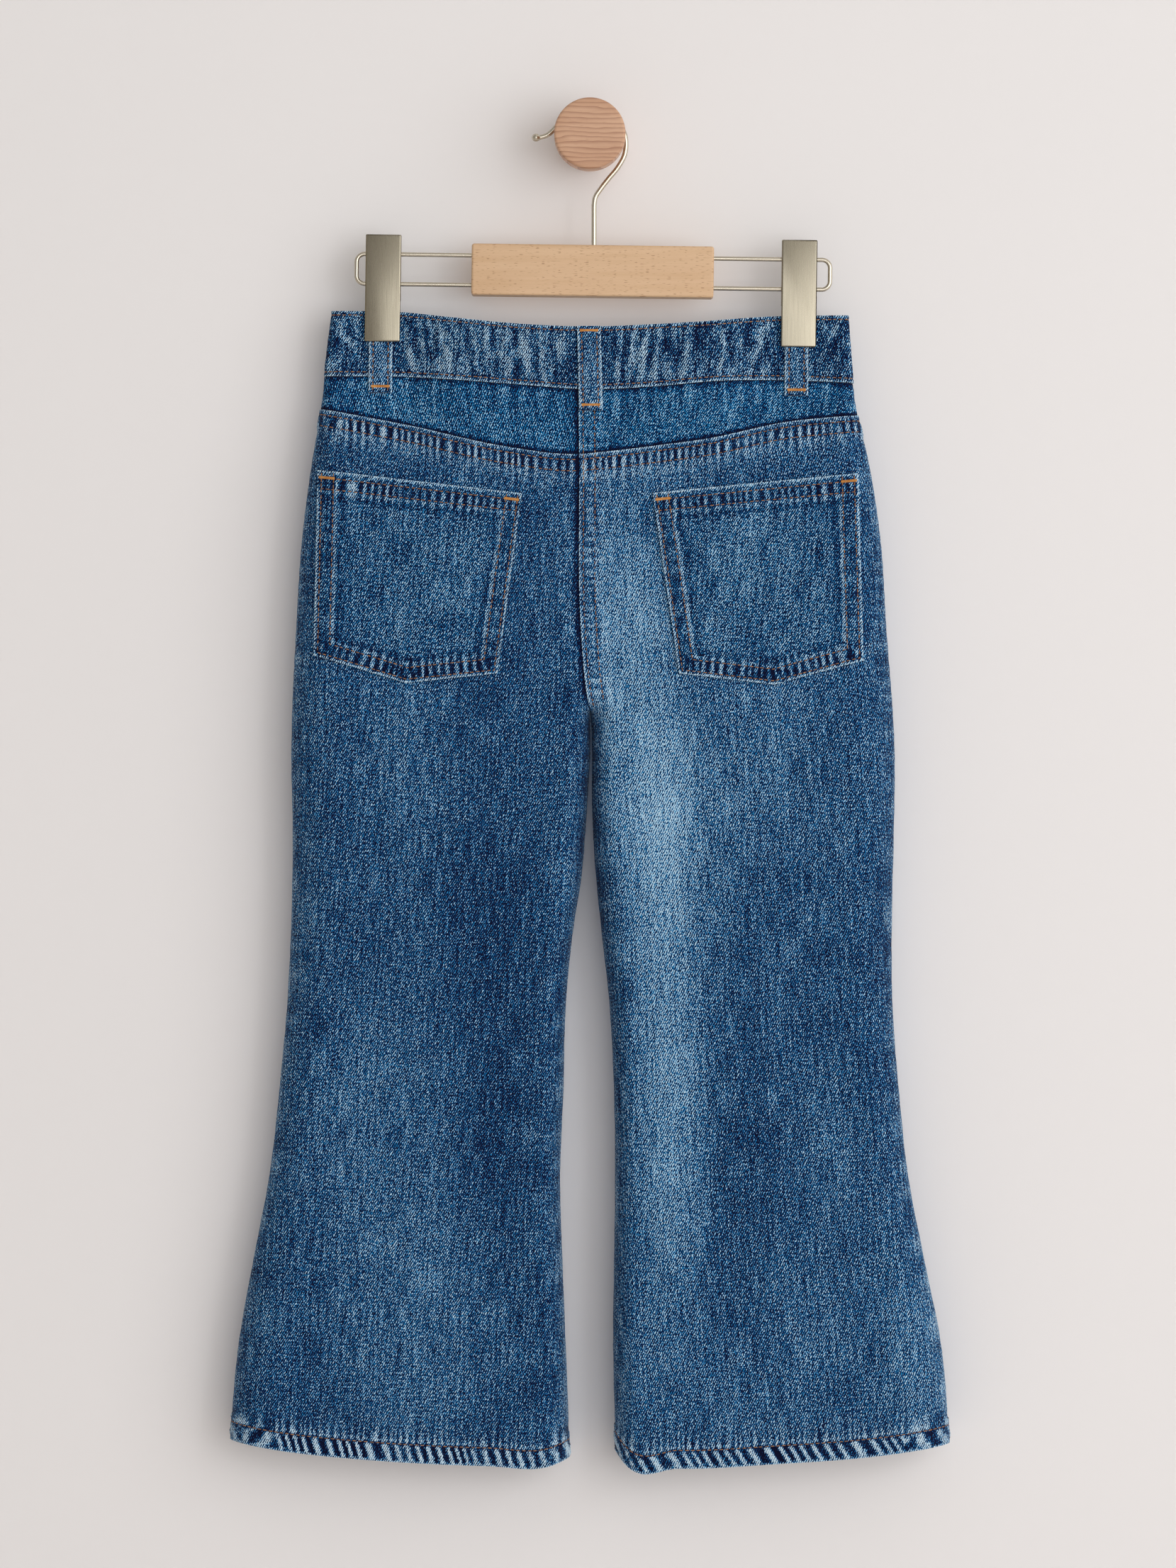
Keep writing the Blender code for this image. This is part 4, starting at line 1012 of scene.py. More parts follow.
def band_relief(x, z, side):
    """Lift and wear over the band: gathers, fine wrinkles, two sewn rows and the worn edges."""
    top, bottom = waist_edge(1, side)(x), waist_edge(2, side)(x)
    from_top, from_bottom = top - z, z - bottom
    down = np.clip(from_top / (top - bottom), 0.0, 1.0)
    crown = np.sin(math.pi * np.clip(down, 0.001, 0.999)) ** 0.5
    groove = bell(from_top - BAND_TOP_ROW, ROW_WIDTH) + bell(from_bottom - BAND_BOTTOM_ROW, ROW_WIDTH)
    teeth = pucker(x, 3.3, 101 + side)
    edge = bell(from_top, 1.6) + 0.6 * bell(from_bottom, 1.3)
    if side < 0:
        ridges = gather_wave(back_share(x, z)) * quiet(x) * crown
        bent = x + 2.4 * patchy(x / 14.0 + 500.0, z / 9.0 + 30.0, 35) - 0.004 * x * (z - BAND_MIDDLE_Z)
        faded = gather_wave(back_share(bent, z)) ** 1.7 * quiet(x) * crown
        small = patchy(bent / 2.5 + 200.0 + 0.6 * uneven(z / 7.0 + 40.0, 5), z / 6.0 + 60.0, 29)
        wide = patchy(x / 8.0 + 300.0, z / 13.0 + 90.0, 33)
        wrinkle = (0.75 * small + 0.5 * wide) * quiet(x) * crown
    else:
        ridges = faded = 0.12 * pucker(x, 9.0, 103) * crown
        wrinkle = 0.3 * patchy(x / 4.0 + 200.0, z / 12.0 + 60.0, 31) * crown
    lift = BAND_LIFT + GATHER_HEIGHT * ridges + 0.22 * wrinkle - 0.3 * groove + 0.12 * teeth * edge
    fringe = pucker(x, 2.1, 107 + side)
    wear = (1.45 * (faded - 0.22 * crown) + 1.0 * wrinkle + 0.35 * teeth * bell(from_top, 2.0)
            + (0.5 + 1.1 * fringe) * bell(from_top, 1.2) + (0.9 + 0.5 * fringe) * bell(from_bottom, 1.0)
            + 0.4 * teeth * bell(from_bottom - 1.0, 2.0) - 0.6 * groove)
    return lift, wear


print("band wall:", BAND_WALL, "mm, lifted by", BAND_LIFT, "mm")

# %% Build the waistband
BAND_ROWS = np.array([0.0, 0.012, 0.03, 0.06, 0.09, 0.14, 0.2, 0.28, 0.36, 0.44, 0.52, 0.6, 0.68, 0.76, 0.83,
                      0.88, 0.915, 0.94, 0.965, 0.985, 1.0])
MIDDLE_ROW = len(BAND_ROWS) // 2


def band_stretch(side, start, end, shares):
    """Grid of one stretch of the band: x runs by shares from one edge function to another."""
    down = BAND_ROWS[:, None]
    x = np.zeros((len(BAND_ROWS), len(shares)))
    for _ in range(8):
        z = waist_edge(1, side)(x) * (1.0 - down) + waist_edge(2, side)(x) * down
        x = start(z) + (end(z) - start(z)) * shares
    return x, z


near_fold = roll_steps(9)[:-1] * BAND_ROLL
back_shares = np.concatenate([near_fold, np.linspace(BAND_ROLL, 1.0 - BAND_ROLL, 281), 1.0 - near_fold[::-1]])
front_shares = np.concatenate([np.linspace(0.0, 1.0 - 2 * BAND_ROLL, 90), 1.0 - 2 * near_fold[::-1]])
left_fold, right_fold = (lambda z: curve(OUTLINE, z, 1)), (lambda z: curve(OUTLINE, z, 2))
stretches = [
    (1, lambda z: np.full_like(z, SEAM_GAP / 2), right_fold, front_shares),
    (-1, right_fold, left_fold, back_shares),
    (1, left_fold, lambda z: np.full_like(z, -SEAM_GAP / 2), 1.0 - front_shares[::-1]),
]
pieces_of_band = []
for side, start, end, shares in stretches:
    x, z = band_stretch(side, start, end, shares)
    lift, wear = band_relief(x, z, side)
    first = 1 if pieces_of_band else 0
    pieces_of_band.append([surface(x, z, side, 0.0)[:, first:], lift[:, first:], wear[:, first:]])
points, lift, wear = (np.concatenate(items, axis=1) for items in zip(*pieces_of_band))
normals = unit(np.cross(np.gradient(points, axis=0), np.gradient(points, axis=1)))
middle = points.shape[1] // 2
normals = normals if normals[MIDDLE_ROW, middle, 1] < 0 else -normals
normals[:, (0, -1), 0] = 0.0
arc = np.concatenate([[0.0], np.cumsum(np.linalg.norm(np.diff(points[MIDDLE_ROW], axis=0), axis=-1))])
uv_grid = np.stack([np.broadcast_to(5000.0 - arc, lift.shape), points[..., 2]], axis=-1)
waistband = add_wall("waistband_strip", points, unit(normals), lift, BAND_LIFT - BAND_WALL, uv_grid, wear,
                     0.0, BAND_DENIM)
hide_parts("waistband")
print("waistband length:", round(float(arc[-1]) * MM, 3), "m")

# %% [markdown]
# ## Belt loops
#
# A belt loop is a narrow strip with both long edges turned under and sewn with two rows. It is
# caught at its ends by bartacks, so it stands a little off the band between them. Its edges rub
# on the belt and wear nearly white. A bent box would do from far away, but a wall on the band's
# own surface follows its slope and its gathered edge.

# %% Build the belt loops
LOOP_WIDTH, LOOP_WALL, LOOP_ROW, LOOP_SEED = 12.9, 1.2, 2.3, 111
LOOP_EDGE_DROP = 0.15
# Name, side, centre at the top, centre at the bottom, lower end and gap behind
LOOPS = [
    ("loop_back_left", -1, -115.3, -115.7, -141.1, 0.8), ("loop_back_right", -1, 114.3, 114.0, -142.8, 0.8),
    ("loop_back_centre", -1, -0.5, 0.7, -151.3, 1.2), ("loop_front_left", 1, -72.0, -72.0, -146.0, 0.8),
    ("loop_front_right", 1, 72.0, 72.0, -146.0, 0.8)]


def loop_gap(x, z, side, gap):
    """Space behind a loop: its own gap on the band, less on the thinner cloth under the band."""
    low = 1.1 if gap > 1.0 else 0.5
    return gap - (gap - low) * fade(-0.5, -4.0, z - waist_edge(2, side)(x))


def loop_place(loop, across, down):
    """x and z in a loop: its centre line plus its cross place, from the band's top to its foot."""
    _, side, top_x, bottom_x, bottom_z, _ = loop
    x = top_x + (bottom_x - top_x) * down + across * LOOP_WIDTH
    top = waist_edge(1, side)(x)
    return x, top + (bottom_z - top) * down


def loop_relief(across, z, seed):
    """Lift and wear of a loop from its cross place (-0.5 to 0.5): rounded edges, rows, puckers."""
    from_edge = (0.5 - np.abs(across)) * LOOP_WIDTH
    wave = pucker(z, 3.6, seed)
    groove = bell(from_edge - LOOP_ROW, 0.7)
    lift = 0.25 * rise(from_edge, 1.6) - 0.3 * groove + 0.1 * wave * bell(from_edge, 2.5)
    wear = (1.1 * bell(from_edge, 1.0) - 0.4 * groove + 0.35 * wave * bell(from_edge, 3.0)
            + 0.2 * patchy(across * 4.0 + 20.0, z / 5.0 + 70.0, seed))
    return lift, wear


loops = {}
for number, loop in enumerate(LOOPS):
    name, side, *_, bottom_z, gap = loop
    across, down = np.linspace(-0.5, 0.5, 27)[None, :], np.linspace(0.0, 1.0, 71)[:, None]
    x, z = loop_place(loop, across, down)
    points = surface(x, z, side)
    space = loop_gap(x, z, side, gap)
    lift, wear = loop_relief(np.broadcast_to(across, x.shape), z, LOOP_SEED + number)
    wear = wear - 0.5 * bell(z - bottom_z, 1.0)
    uv_grid = np.stack([-side * x + 7000.0 + 100.0 * number, z], axis=-1)
    loops[name] = add_wall(f"{name}_strip", points, grid_normals(points, side),
                           space + LOOP_WALL - LOOP_EDGE_DROP + lift, space, uv_grid, wear, 0.05, LOOP_DENIM)
    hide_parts(name)
print("belt loops:", len(loops))

# %% [markdown]
# ## Back pockets
#
# A patch pocket has five corners. Its top is hemmed, and the other four edges are turned under
# and sewn down with two rows, so a thicker rim runs round a thin middle. A flat plate with a
# bevel would miss the rim's puckers. So relief is worked out from the distance to each edge, and
# each edge has its own puckers along it, weaker on the two sides, which run with the warp.

# %% Relief of the pockets
POCKET_GAP, POCKET_WALL, POCKET_RIM, TOP_HEM, RIM_LIFT = 0.6, 1.0, 9.2, 11.2, 0.4
POCKET_ROWS, TOP_ROWS, POCKET_SEEDS = (2.0, 8.3), (4.0, 10.0), (141, 161)
# Top outer, top inner, bottom inner, point and bottom outer corner
POCKETS = {
    "back_pocket_left": [(-148.9, -184.2), (-37.4, -197.1), (-50.8, -296.1), (-101.0, -301.4),
                         (-151.1, -286.2)],
    "back_pocket_right": [(147.0, -186.1), (34.6, -196.9), (49.1, -296.1), (101.2, -302.3),
                          (149.9, -289.1)],
}


def polygon_edges(corners):
    """For each edge: its start, and unit vectors along it and inwards."""
    corners = np.array(corners)
    centre = corners.mean(axis=0)
    edges = []
    for a, b in zip(corners, np.roll(corners, -1, axis=0)):
        along = (b - a) / np.linalg.norm(b - a)
        inward = np.array([-along[1], along[0]])
        edges.append((a, along, inward if (centre - a) @ inward > 0 else -inward))
    return edges


def pocket_edges(corners, x, z):
    """For each edge: distance inwards from it, and place along it."""
    return [((x - a[0]) * inward[0] + (z - a[1]) * inward[1], (x - a[0]) * along[0] + (z - a[1]) * along[1])
            for a, along, inward in polygon_edges(corners)]


def pocket_relief(corners, x, z, seed):
    """Lift and wear of a pocket: a thick rim, grooves at its rows, puckers along each edge, painted shade."""
    edges = pocket_edges(corners, x, z)
    nearest = np.min([distance for distance, _ in edges], axis=0)
    lift, wear, rim = np.zeros_like(x), np.zeros_like(x), np.zeros_like(x)
    for k, (distance, along) in enumerate(edges):
        width, rows = (TOP_HEM, TOP_ROWS) if k == 0 else (POCKET_RIM, POCKET_ROWS)
        rim = np.maximum(rim, 1.0 - fade(width - 0.5, width + 1.2, distance))
        inside_sides = fade(1.0, 3.0, nearest) if k == 0 else fade(0.4, 2.0, edges[0][0])
        own = bell(distance - nearest, 3.0) if k else 1.0
        on_side = k in (1, 4)
        wave = pucker(along, 10.5 if on_side else 4.6, seed + 3 * k)
        ragged = 0.6 + 0.5 * pucker(along, 2.3, seed + 3 * k + 1)
        between = (fade(rows[0] - 1.0, rows[0] + 1.2, distance)
                   * (1.0 - fade(rows[1] - 1.2, rows[1] + 0.8, distance)))
        spill = bell(distance - width - 0.6, 3.2) * fade(rows[1], rows[1] + 1.0, distance)
        groove = sum(bell(distance - row, ROW_WIDTH) for row in rows) * inside_sides
        lift = lift + own * (0.24 * wave * between + 0.1 * wave * spill) - 0.26 * groove
        strong, dark, pale = (0.25, 0.16, 0.75) if on_side else (1.35, 0.28, 0.3)
        # Worn rows, lips and puckers, with painted shade: the dark band about 3.4 mm inside each rim is the
        # shade of the valley beside it.
        wear = wear + own * (strong * wave * between - dark * between + 0.6 * strong * wave * spill
                             + pale * bell(distance - width - 0.4, 0.9)
                             - 0.35 * bell(distance - width - 3.4, 2.0)
                             + 1.9 * ragged * bell(distance, 1.05)) - 0.5 * groove
    return lift + RIM_LIFT * rim, wear


print("pocket rim:", POCKET_RIM, "mm, top hem:", TOP_HEM, "mm")

# %% Build the back pockets
pockets = {}
for number, (name, corners) in enumerate(POCKETS.items()):
    top_out, top_in, low_in, point, low_out = np.array(corners)
    side_share = (point[0] - low_out[0]) / (low_in[0] - low_out[0])
    near_edge = np.array([0.0, 0.003, 0.008, 0.014, 0.02])
    across = np.concatenate([near_edge, np.linspace(0.03, 0.97, 112), 1.0 - near_edge[::-1]])
    across = np.sort(np.append(across, side_share))[None, :]
    down = np.concatenate([near_edge, np.linspace(0.03, 0.97, 116), 1.0 - near_edge[::-1]])[:, None]
    top = top_out[:, None] + (top_in - top_out)[:, None] * across
    left_part = low_out[1] + (point[1] - low_out[1]) * across / side_share
    right_part = point[1] + (low_in[1] - point[1]) * (across - side_share) / (1.0 - side_share)
    low_z = np.where(across < side_share, left_part, right_part)
    low_x = low_out[0] + (low_in[0] - low_out[0]) * across
    x = top[0] + (low_x - top[0]) * down
    z = top[1] + (low_z - top[1]) * down
    points = surface(x, z, -1)
    lift, wear = pocket_relief(corners, x, z, POCKET_SEEDS[number])
    middle = bell(x - (top_in[0] + low_out[0]) / 2, 34.0) * bell(z + 236.0, 30.0)
    wear = wear + 0.08 * patchy(x / 6.0 + 80.0, z / 9.0 + 90.0, 23 + number)
    uv_grid = np.stack([x - 0.085 * z + 8000.0 + 300.0 * number, z], axis=-1)
    pockets[name] = add_wall(f"{name}_patch", points, grid_normals(points, -1),
                             POCKET_GAP + POCKET_WALL + lift, POCKET_GAP, uv_grid, wear,
                             0.07 * middle + 0.03 * number, POCKET_DENIM)
    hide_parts(name)
    print(name, points.shape[:2], "grid")

# %% [markdown]
# ## Fly placket
#
# The front faces the wall. It has the one piece that jeans must have there: a placket over the
# zip, straight beside the opening and curved in at its foot, sewn with two rows that follow the
# curve. A grid whose rows get shorter towards the foot gives that curve with clean edges. The zip
# is under it and isn't seen.

# %% Build the fly placket
FLY_WIDTH, FLY_LENGTH, FLY_STRAIGHT, FLY_WALL = 34.0, 104.0, 0.66, 1.0
FLY_OPENING, FLY_ROWS = 0.5 - SEAM_GAP, (2.2, 8.6)


def fly_place(down, share):
    """x and z in the placket: width is full, then falls as a quarter circle below 0.66 of it."""
    bend = np.clip((down - FLY_STRAIGHT) / (1.0 - FLY_STRAIGHT), 0.0, 1.0)
    x = FLY_OPENING - FLY_WIDTH * np.sqrt(1.0 - bend**2) * share
    return x, waist_edge(2, 1)(x) - 1.0 - down * FLY_LENGTH


down, share = np.linspace(0.0, 0.97, 90)[:, None], np.linspace(0.0, 1.0, 41)[None, :]
x, z = fly_place(down, share)
points = surface(x, z, 1)
from_edge = (1.0 - share) * FLY_WIDTH * np.ones_like(down)
groove = sum(bell(from_edge - row, ROW_WIDTH) for row in FLY_ROWS)
wave = pucker(down * FLY_LENGTH, 5.0, 171) * fade(0.5, 2.5, from_edge) * (1.0 - fade(8.0, 10.5, from_edge))
lift = SEAM_GAP + FLY_WALL + 0.16 * wave - 0.25 * groove
wear = 0.9 * bell(from_edge, 1.0) + 0.5 * wave - 0.3 * groove
placket = add_wall("fly_placket_facing", points, grid_normals(points, 1), lift, SEAM_GAP,
                   np.stack([-x + 9000.0, z], axis=-1), wear, 0.02, PANEL_DENIM)
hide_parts("fly_placket")
print("placket:", points.shape[:2], "grid")

# %% [markdown]
# ## Topstitching
#
# Lockstitch thread lies on the cloth in short raised lengths and dives in at each needle hole. A
# painted line would do in a picture, but not from the side. So one stitch is a small capsule of
# 26 faces, lower at its ends. A path is sampled at an even pitch, and whole arrays place a stitch
# at each step, turned to the path and to the cloth's normal. A bartack is the same stitch laid
# crosswise and very close together.

# %% Stitch maker
STITCH_PITCH, STITCH_LENGTH, THREAD_RADIUS, THREAD_SIDES = 3.1, 2.35, 0.31, 6
STITCH_RAISE, STITCH_DIP = 0.10, 0.22
FORM_PLACES, FORM_GIRTHS = np.array([-1.0, -0.72, 0.0, 0.72, 1.0]), np.array([0.3, 0.85, 1.0, 0.85, 0.3])


def stitch_form(length, radius, dip):
    """Capsule along X: rings of the form's girths, lowered by the dip times place squared."""
    place, girth = FORM_PLACES[:, None], FORM_GIRTHS[:, None] * radius
    angle = np.arange(THREAD_SIDES) * 2 * math.pi / THREAD_SIDES
    across = girth * np.cos(angle)
    grid = np.stack([np.broadcast_to(place * length / 2, across.shape), across,
                     girth * np.sin(angle) - dip * place**2], axis=-1).reshape(-1, 3)
    return grid, ring_quads(len(FORM_PLACES), THREAD_SIDES)[:, ::-1]


def add_threads(name, centres, tangents, normals, length, radius, dip, slot, material):
    """One mesh of many stitches: each form point times the three axes, plus its centre."""
    form, quads = stitch_form(length, radius, dip)
    tangents = unit(tangents - normals * (tangents * normals).sum(axis=-1, keepdims=True))
    sideways = np.cross(normals, tangents)
    points = (centres[:, None] + form[None, :, :1] * tangents[:, None]
              + form[None, :, 1:2] * sideways[:, None] + form[None, :, 2:] * normals[:, None])
    starts = np.arange(len(centres))[:, None, None] * len(form)
    faces = (quads[None] + starts).reshape(-1, 4).tolist()
    ring = np.arange(THREAD_SIDES)
    caps = np.array([ring, (len(FORM_PLACES) - 1) * THREAD_SIDES + ring[::-1]])
    faces += (caps[None] + starts).reshape(-1, THREAD_SIDES).tolist()
    add_mesh(name, points.reshape(-1, 3), faces, slot, material)


def row_points(x, z, side, lift):
    """Dense path on a piece: the cloth's surface plus its normal times the piece's lift."""
    normals = slope_normals(x, z, side)
    return surface(x, z, side) + normals * lift[..., None], normals


def sew(path, normals, pitch, jitter_seed):
    """Even steps along a path, each moved a little: centres, directions and normals."""
    steps = np.linalg.norm(np.diff(path, axis=0), axis=-1)
    arc = np.concatenate([[0.0], np.cumsum(steps)])
    count = max(int(arc[-1] / pitch), 1)
    at = (np.arange(count) + 0.5) * arc[-1] / count
    at = at + 0.12 * pitch * uneven(at / pitch + 300.0, jitter_seed)

    def along(values, places):
        return np.stack([np.interp(places, arc, values[:, k]) for k in range(3)], axis=-1)
    return along(path, at), along(path, at + 0.6) - along(path, at - 0.6), unit(along(normals, at))


def add_rows(name, rows):
    """Sew every (path, normals) of a list and put the stitches in one mesh."""
    sewn = [sew(path, normals, STITCH_PITCH, 400 + k) for k, (path, normals) in enumerate(rows)]
    centres, tangents, normals = (np.concatenate(items) for items in zip(*sewn))
    add_threads(name, centres + normals * STITCH_RAISE, tangents, normals, STITCH_LENGTH, THREAD_RADIUS,
                STITCH_DIP, "thread", TOP_THREAD)
    print(name, len(centres), "stitches")


print("faces of one stitch:", len(stitch_form(1.0, 1.0, 0.0)[1]) + 2)


# %% Thread materials
def thread_material(name, dark, light):
    """Matt twisted thread: a fine noise for its plies and a wider one for its fading."""
    material = bpy.data.materials.new(name)
    material.use_nodes = True
    tree = material.node_tree
    graph, shader = Graph(tree), tree.nodes["Principled BSDF"]
    place = tree.nodes.new("ShaderNodeTexCoord").outputs["Object"]
    worn = graph.noise(place, (260.0, 260.0, 260.0), detail=2.0)
    ply = graph.noise(place, (2600.0, 2600.0, 2600.0), detail=0.0)
    amount = graph.math("ADD", graph.math("MULTIPLY", worn, 0.75), graph.math("MULTIPLY", ply, 0.3))
    tree.links.new(graph.ramp(amount, [(0.25, dark), (0.8, light)]), shader.inputs["Base Color"])
    tree.links.new(graph.remap(ply, 0.2, 0.8, 0.8, 0.6), shader.inputs["Roughness"])
    shader.inputs["Sheen Weight"].default_value = 0.15
    shader.inputs["Specular IOR Level"].default_value = 0.25
    return material


TOP_THREAD = thread_material("topstitch_thread", srgb(80, 56, 48), srgb(180, 132, 94))
TACK_THREAD = thread_material("bartack_thread", srgb(168, 104, 46), srgb(226, 166, 92))
print("threads:", TOP_THREAD.name, TACK_THREAD.name)

# %% Rows on the seams, hems and band
EASED = 0.5 - 0.5 * np.cos(np.linspace(0.0, math.pi, 900))


def cross_row(height, start, end):
    """x and z of a row that follows a height function of x, with closer steps at its ends."""
    x = start + (end - start) * EASED
    return x, height(x)


band_rows = []
for column, offset in ((1, -BAND_TOP_ROW), (2, BAND_BOTTOM_ROW)):
    for side in (-1, 1):
        level_z = float(curve(WAIST, -146.0, column)) + offset
        ends = [(float(curve(OUTLINE, level_z, k)) - hand * 0.05) for k, hand in ((1, -1), (2, 1))]
        spans = [ends] if side < 0 else [(ends[0], -1.2), (1.2, ends[1])]
        for start, end in spans:
            x, z = cross_row(lambda x: waist_edge(column, side)(x) + offset, start, end)
            band_rows.append(row_points(x, z, side, band_relief(x, z, side)[0]))
add_rows("waistband_stitching", band_rows)

yoke_rows = []
for leg, start, end in ((-1, float(curve(OUTLINE, -152.0, 1)) + 0.2, -7.2),
                        (1, -3.4, float(curve(OUTLINE, -156.0, 2)) - 0.2)):
    for offset in YOKE_ROWS:
        x, z = cross_row(lambda x: curve(YOKE, x) - SEAM_GAP - offset, start, end)
        yoke_rows.append(row_points(x, z, -1, back_relief(leg, x, z)[0]))
add_rows("yoke_stitching", yoke_rows)

centre_rows = []
for offset in CENTRE_ROWS:
    z = np.linspace(-141.0, -315.0 + 0.5 * offset, 700)
    x = curve(CENTRE_BACK, z) + offset
    on_yoke = z > curve(YOKE, x)
    lift = np.where(on_yoke, centre_strip(x, z)[0], back_relief(1, x, z)[0])
    centre_rows.append(row_points(x, z, -1, lift))
add_rows("centre_seam_stitching", centre_rows)

hem_rows = []
for leg in (-1, 1):
    for side in (-1, 1):
        up = HEM_ROW + FRONT_HEM_RISE * (side > 0)
        level_z = float(curve(HEMS[leg], 198.0 * leg)) + up
        outer_x = float(curve(OUTLINE, level_z, 1 if leg < 0 else 2)) - leg * 0.2
        inner_x = float(curve(INSEAM, level_z, 1 if leg < 0 else 2)) + leg * 0.2
        x, z = cross_row(lambda x: curve(HEMS[leg], x) + up, outer_x, inner_x)
        relief = back_relief if side < 0 else front_relief
        hem_rows.append(row_points(x, z, side, relief(leg, x, z)[0]))
add_rows("hem_stitching", hem_rows)

# %% Rows on the pockets, loops and placket
def inset_corners(corners, insets):
    """Corners of a polygon whose edges are moved inwards: each is where two moved edges meet."""
    lines = [(inward, (a + inward * inset) @ inward)
             for (a, _, inward), inset in zip(polygon_edges(corners), insets)]
    moved = [np.linalg.solve(np.array([before[0], line[0]]), np.array([before[1], line[1]]))
             for before, line in zip([lines[-1]] + lines[:-1], lines)]
    return np.array(moved)


pocket_rows = []
for number, corners in enumerate(POCKETS.values()):
    routes = []
    for inset in POCKET_ROWS:
        ring = inset_corners(corners, [0.6] + [inset] * 4)
        routes.append([ring[1], ring[2], ring[3], ring[4], ring[0]])
    for inset in TOP_ROWS:
        ring = inset_corners(corners, [inset] + [1.2] * 4)
        routes.append([ring[0], ring[1]])
    for route in routes:
        route = np.array(route)
        places = np.linspace(0.0, len(route) - 1.0, 300 * (len(route) - 1))
        x, z = (np.interp(places, np.arange(len(route)), route[:, k]) for k in range(2))
        lift = POCKET_GAP + POCKET_WALL + pocket_relief(corners, x, z, POCKET_SEEDS[number])[0]
        pocket_rows.append(row_points(x, z, -1, lift))
add_rows("pocket_stitching", pocket_rows)

loop_rows = []
for number, loop in enumerate(LOOPS):
    side, gap = loop[1], loop[-1]
    for hand in (-1, 1):
        down = np.linspace(0.02, 0.985, 240)
        across = np.full_like(down, hand * (0.5 - LOOP_ROW / LOOP_WIDTH))
        x, z = loop_place(loop, across, down)
        relief = loop_relief(across, z, LOOP_SEED + number)[0]
        lift = loop_gap(x, z, side, gap) + LOOP_WALL - LOOP_EDGE_DROP + relief
        loop_rows.append(row_points(x, z, side, lift))
add_rows("loop_stitching", loop_rows)

fly_rows = []
for offset in FLY_ROWS:
    x, z = fly_place(np.linspace(0.01, 0.95, 400), 1.0 - offset / FLY_WIDTH)
    fly_rows.append(row_points(x, z, 1, np.full_like(x, SEAM_GAP + FLY_WALL - 0.25)))
add_rows("fly_stitching", fly_rows)

# %% Bartacks
TACK_STEP, TACK_REACH, TACK_RADIUS, TACK_DIP = 0.42, 1.6, 0.25, 0.12
LOOP_TACK, POCKET_TACK, FLY_TACK = 9.8, 7.8, 7.0
# Side, x, z and lift of each belt loop's tack: back left, back right, centre top, centre bottom,
# then the front's two at the bottom and two at the top
LOOP_TACKS = [(-1, -115.6, -137.6, 1.95), (-1, 114.1, -139.6, 1.95), (-1, -0.45, -107.0, 2.5),
              (-1, 0.6, -148.2, 2.4), (1, -72.0, -143.0, 1.8), (1, 72.0, -143.0, 1.8),
              (1, -72.0, -104.5, 2.1), (1, 72.0, -104.5, 2.1)]


def tack(x, z, direction, length, side, lift):
    """Crosswise stitches along a short line: centre, unit direction in x and z, and length."""
    places = np.linspace(-length / 2, length / 2, int(length / TACK_STEP))
    at_x, at_z = x + direction[0] * places, z + direction[1] * places
    path, normals = row_points(at_x, at_z, side, np.full_like(at_x, lift))
    across = np.stack([np.full_like(at_x, -direction[1]), np.zeros_like(at_x),
                       np.full_like(at_x, direction[0])], axis=-1)
    return path, across, normals


tacks = [tack(x, z, (1.0, 0.0), LOOP_TACK, side, lift) for side, x, z, lift in LOOP_TACKS]
for corners in POCKETS.values():
    top_out, top_in = np.array(corners[0]), np.array(corners[1])
    along = (top_in - top_out) / np.linalg.norm(top_in - top_out)
    below = np.array([-along[1], along[0]]) if along[0] < 0 else np.array([along[1], -along[0]])
    for corner, way in ((top_out, 1.0), (top_in, -1.0)):
        centre = corner + along * way * 5.2 + below * 3.8
        lift = POCKET_GAP + POCKET_WALL + RIM_LIFT + 0.1
        tacks.append(tack(centre[0], centre[1], along, POCKET_TACK, -1, lift))
tacks.append(tack(-1.6, -240.5, (0.0, 1.0), FLY_TACK, 1, SEAM_GAP + FLY_WALL))
centres, across, normals = (np.concatenate(items) for items in zip(*tacks))
add_threads("bartacks", centres, across, normals, TACK_REACH, TACK_RADIUS, TACK_DIP, "tack_thread",
            TACK_THREAD)
print("bartack stitches:", len(centres))

# %% [markdown]
# ## Wood
#
# The bar is steamed beech: pale, with a fine straight grain and thousands of short dark flecks,
# which are the cut ends of its rays. The peg is turned from the same wood, a little pinker, and
# shows more of its growth lines. A picture of wood would break off at every edge. So one group
# draws grain, flecks and growth lines from a place in space, and they run through the solid. Each
# piece gives it two colours, an amount of flecks and an amount of lines.

# %% Wood group and materials
RING_STEP, RING_BEND = 2.7, 4.5
LATE_WOOD, FLECK = srgb(146, 98, 72), srgb(150, 104, 70)

wood, inside, outside = new_group(
    "beech_grain",
    [("Place", "Vector", None), ("Light", "Color", srgb(222, 186, 150)),
     ("Dark", "Color", srgb(196, 152, 112)), ("Flecks", "Float", 0.5), ("Rings", "Float", 0.0)],
    [("Color", "Color"), ("Roughness", "Float"), ("Height", "Float")])
g = Graph(wood)
place = inside.outputs["Place"]
grain = g.noise(place, (12.0, 160.0, 260.0), detail=4.0, roughness=0.62)
rings = g.noise(place, (3.0, 40.0, 46.0), detail=2.0)
fleck_noise = g.noise(place, (330.0, 900.0, 2300.0), detail=0.0)
fleck = g.math("MULTIPLY", g.remap(fleck_noise, 0.66, 0.76), inside.outputs["Flecks"])
heights = wood.nodes.new("ShaderNodeSeparateXYZ")
wood.links.new(place, heights.inputs[0])
bend = g.math("MULTIPLY", g.noise(place, (45.0, 45.0, 160.0)), RING_BEND * MM)
year = g.math("FRACT", g.math("DIVIDE", g.math("ADD", heights.outputs[2], bend), RING_STEP * MM))
late_wood = g.math("MULTIPLY", g.math("POWER", year, 3.0), inside.outputs["Rings"])
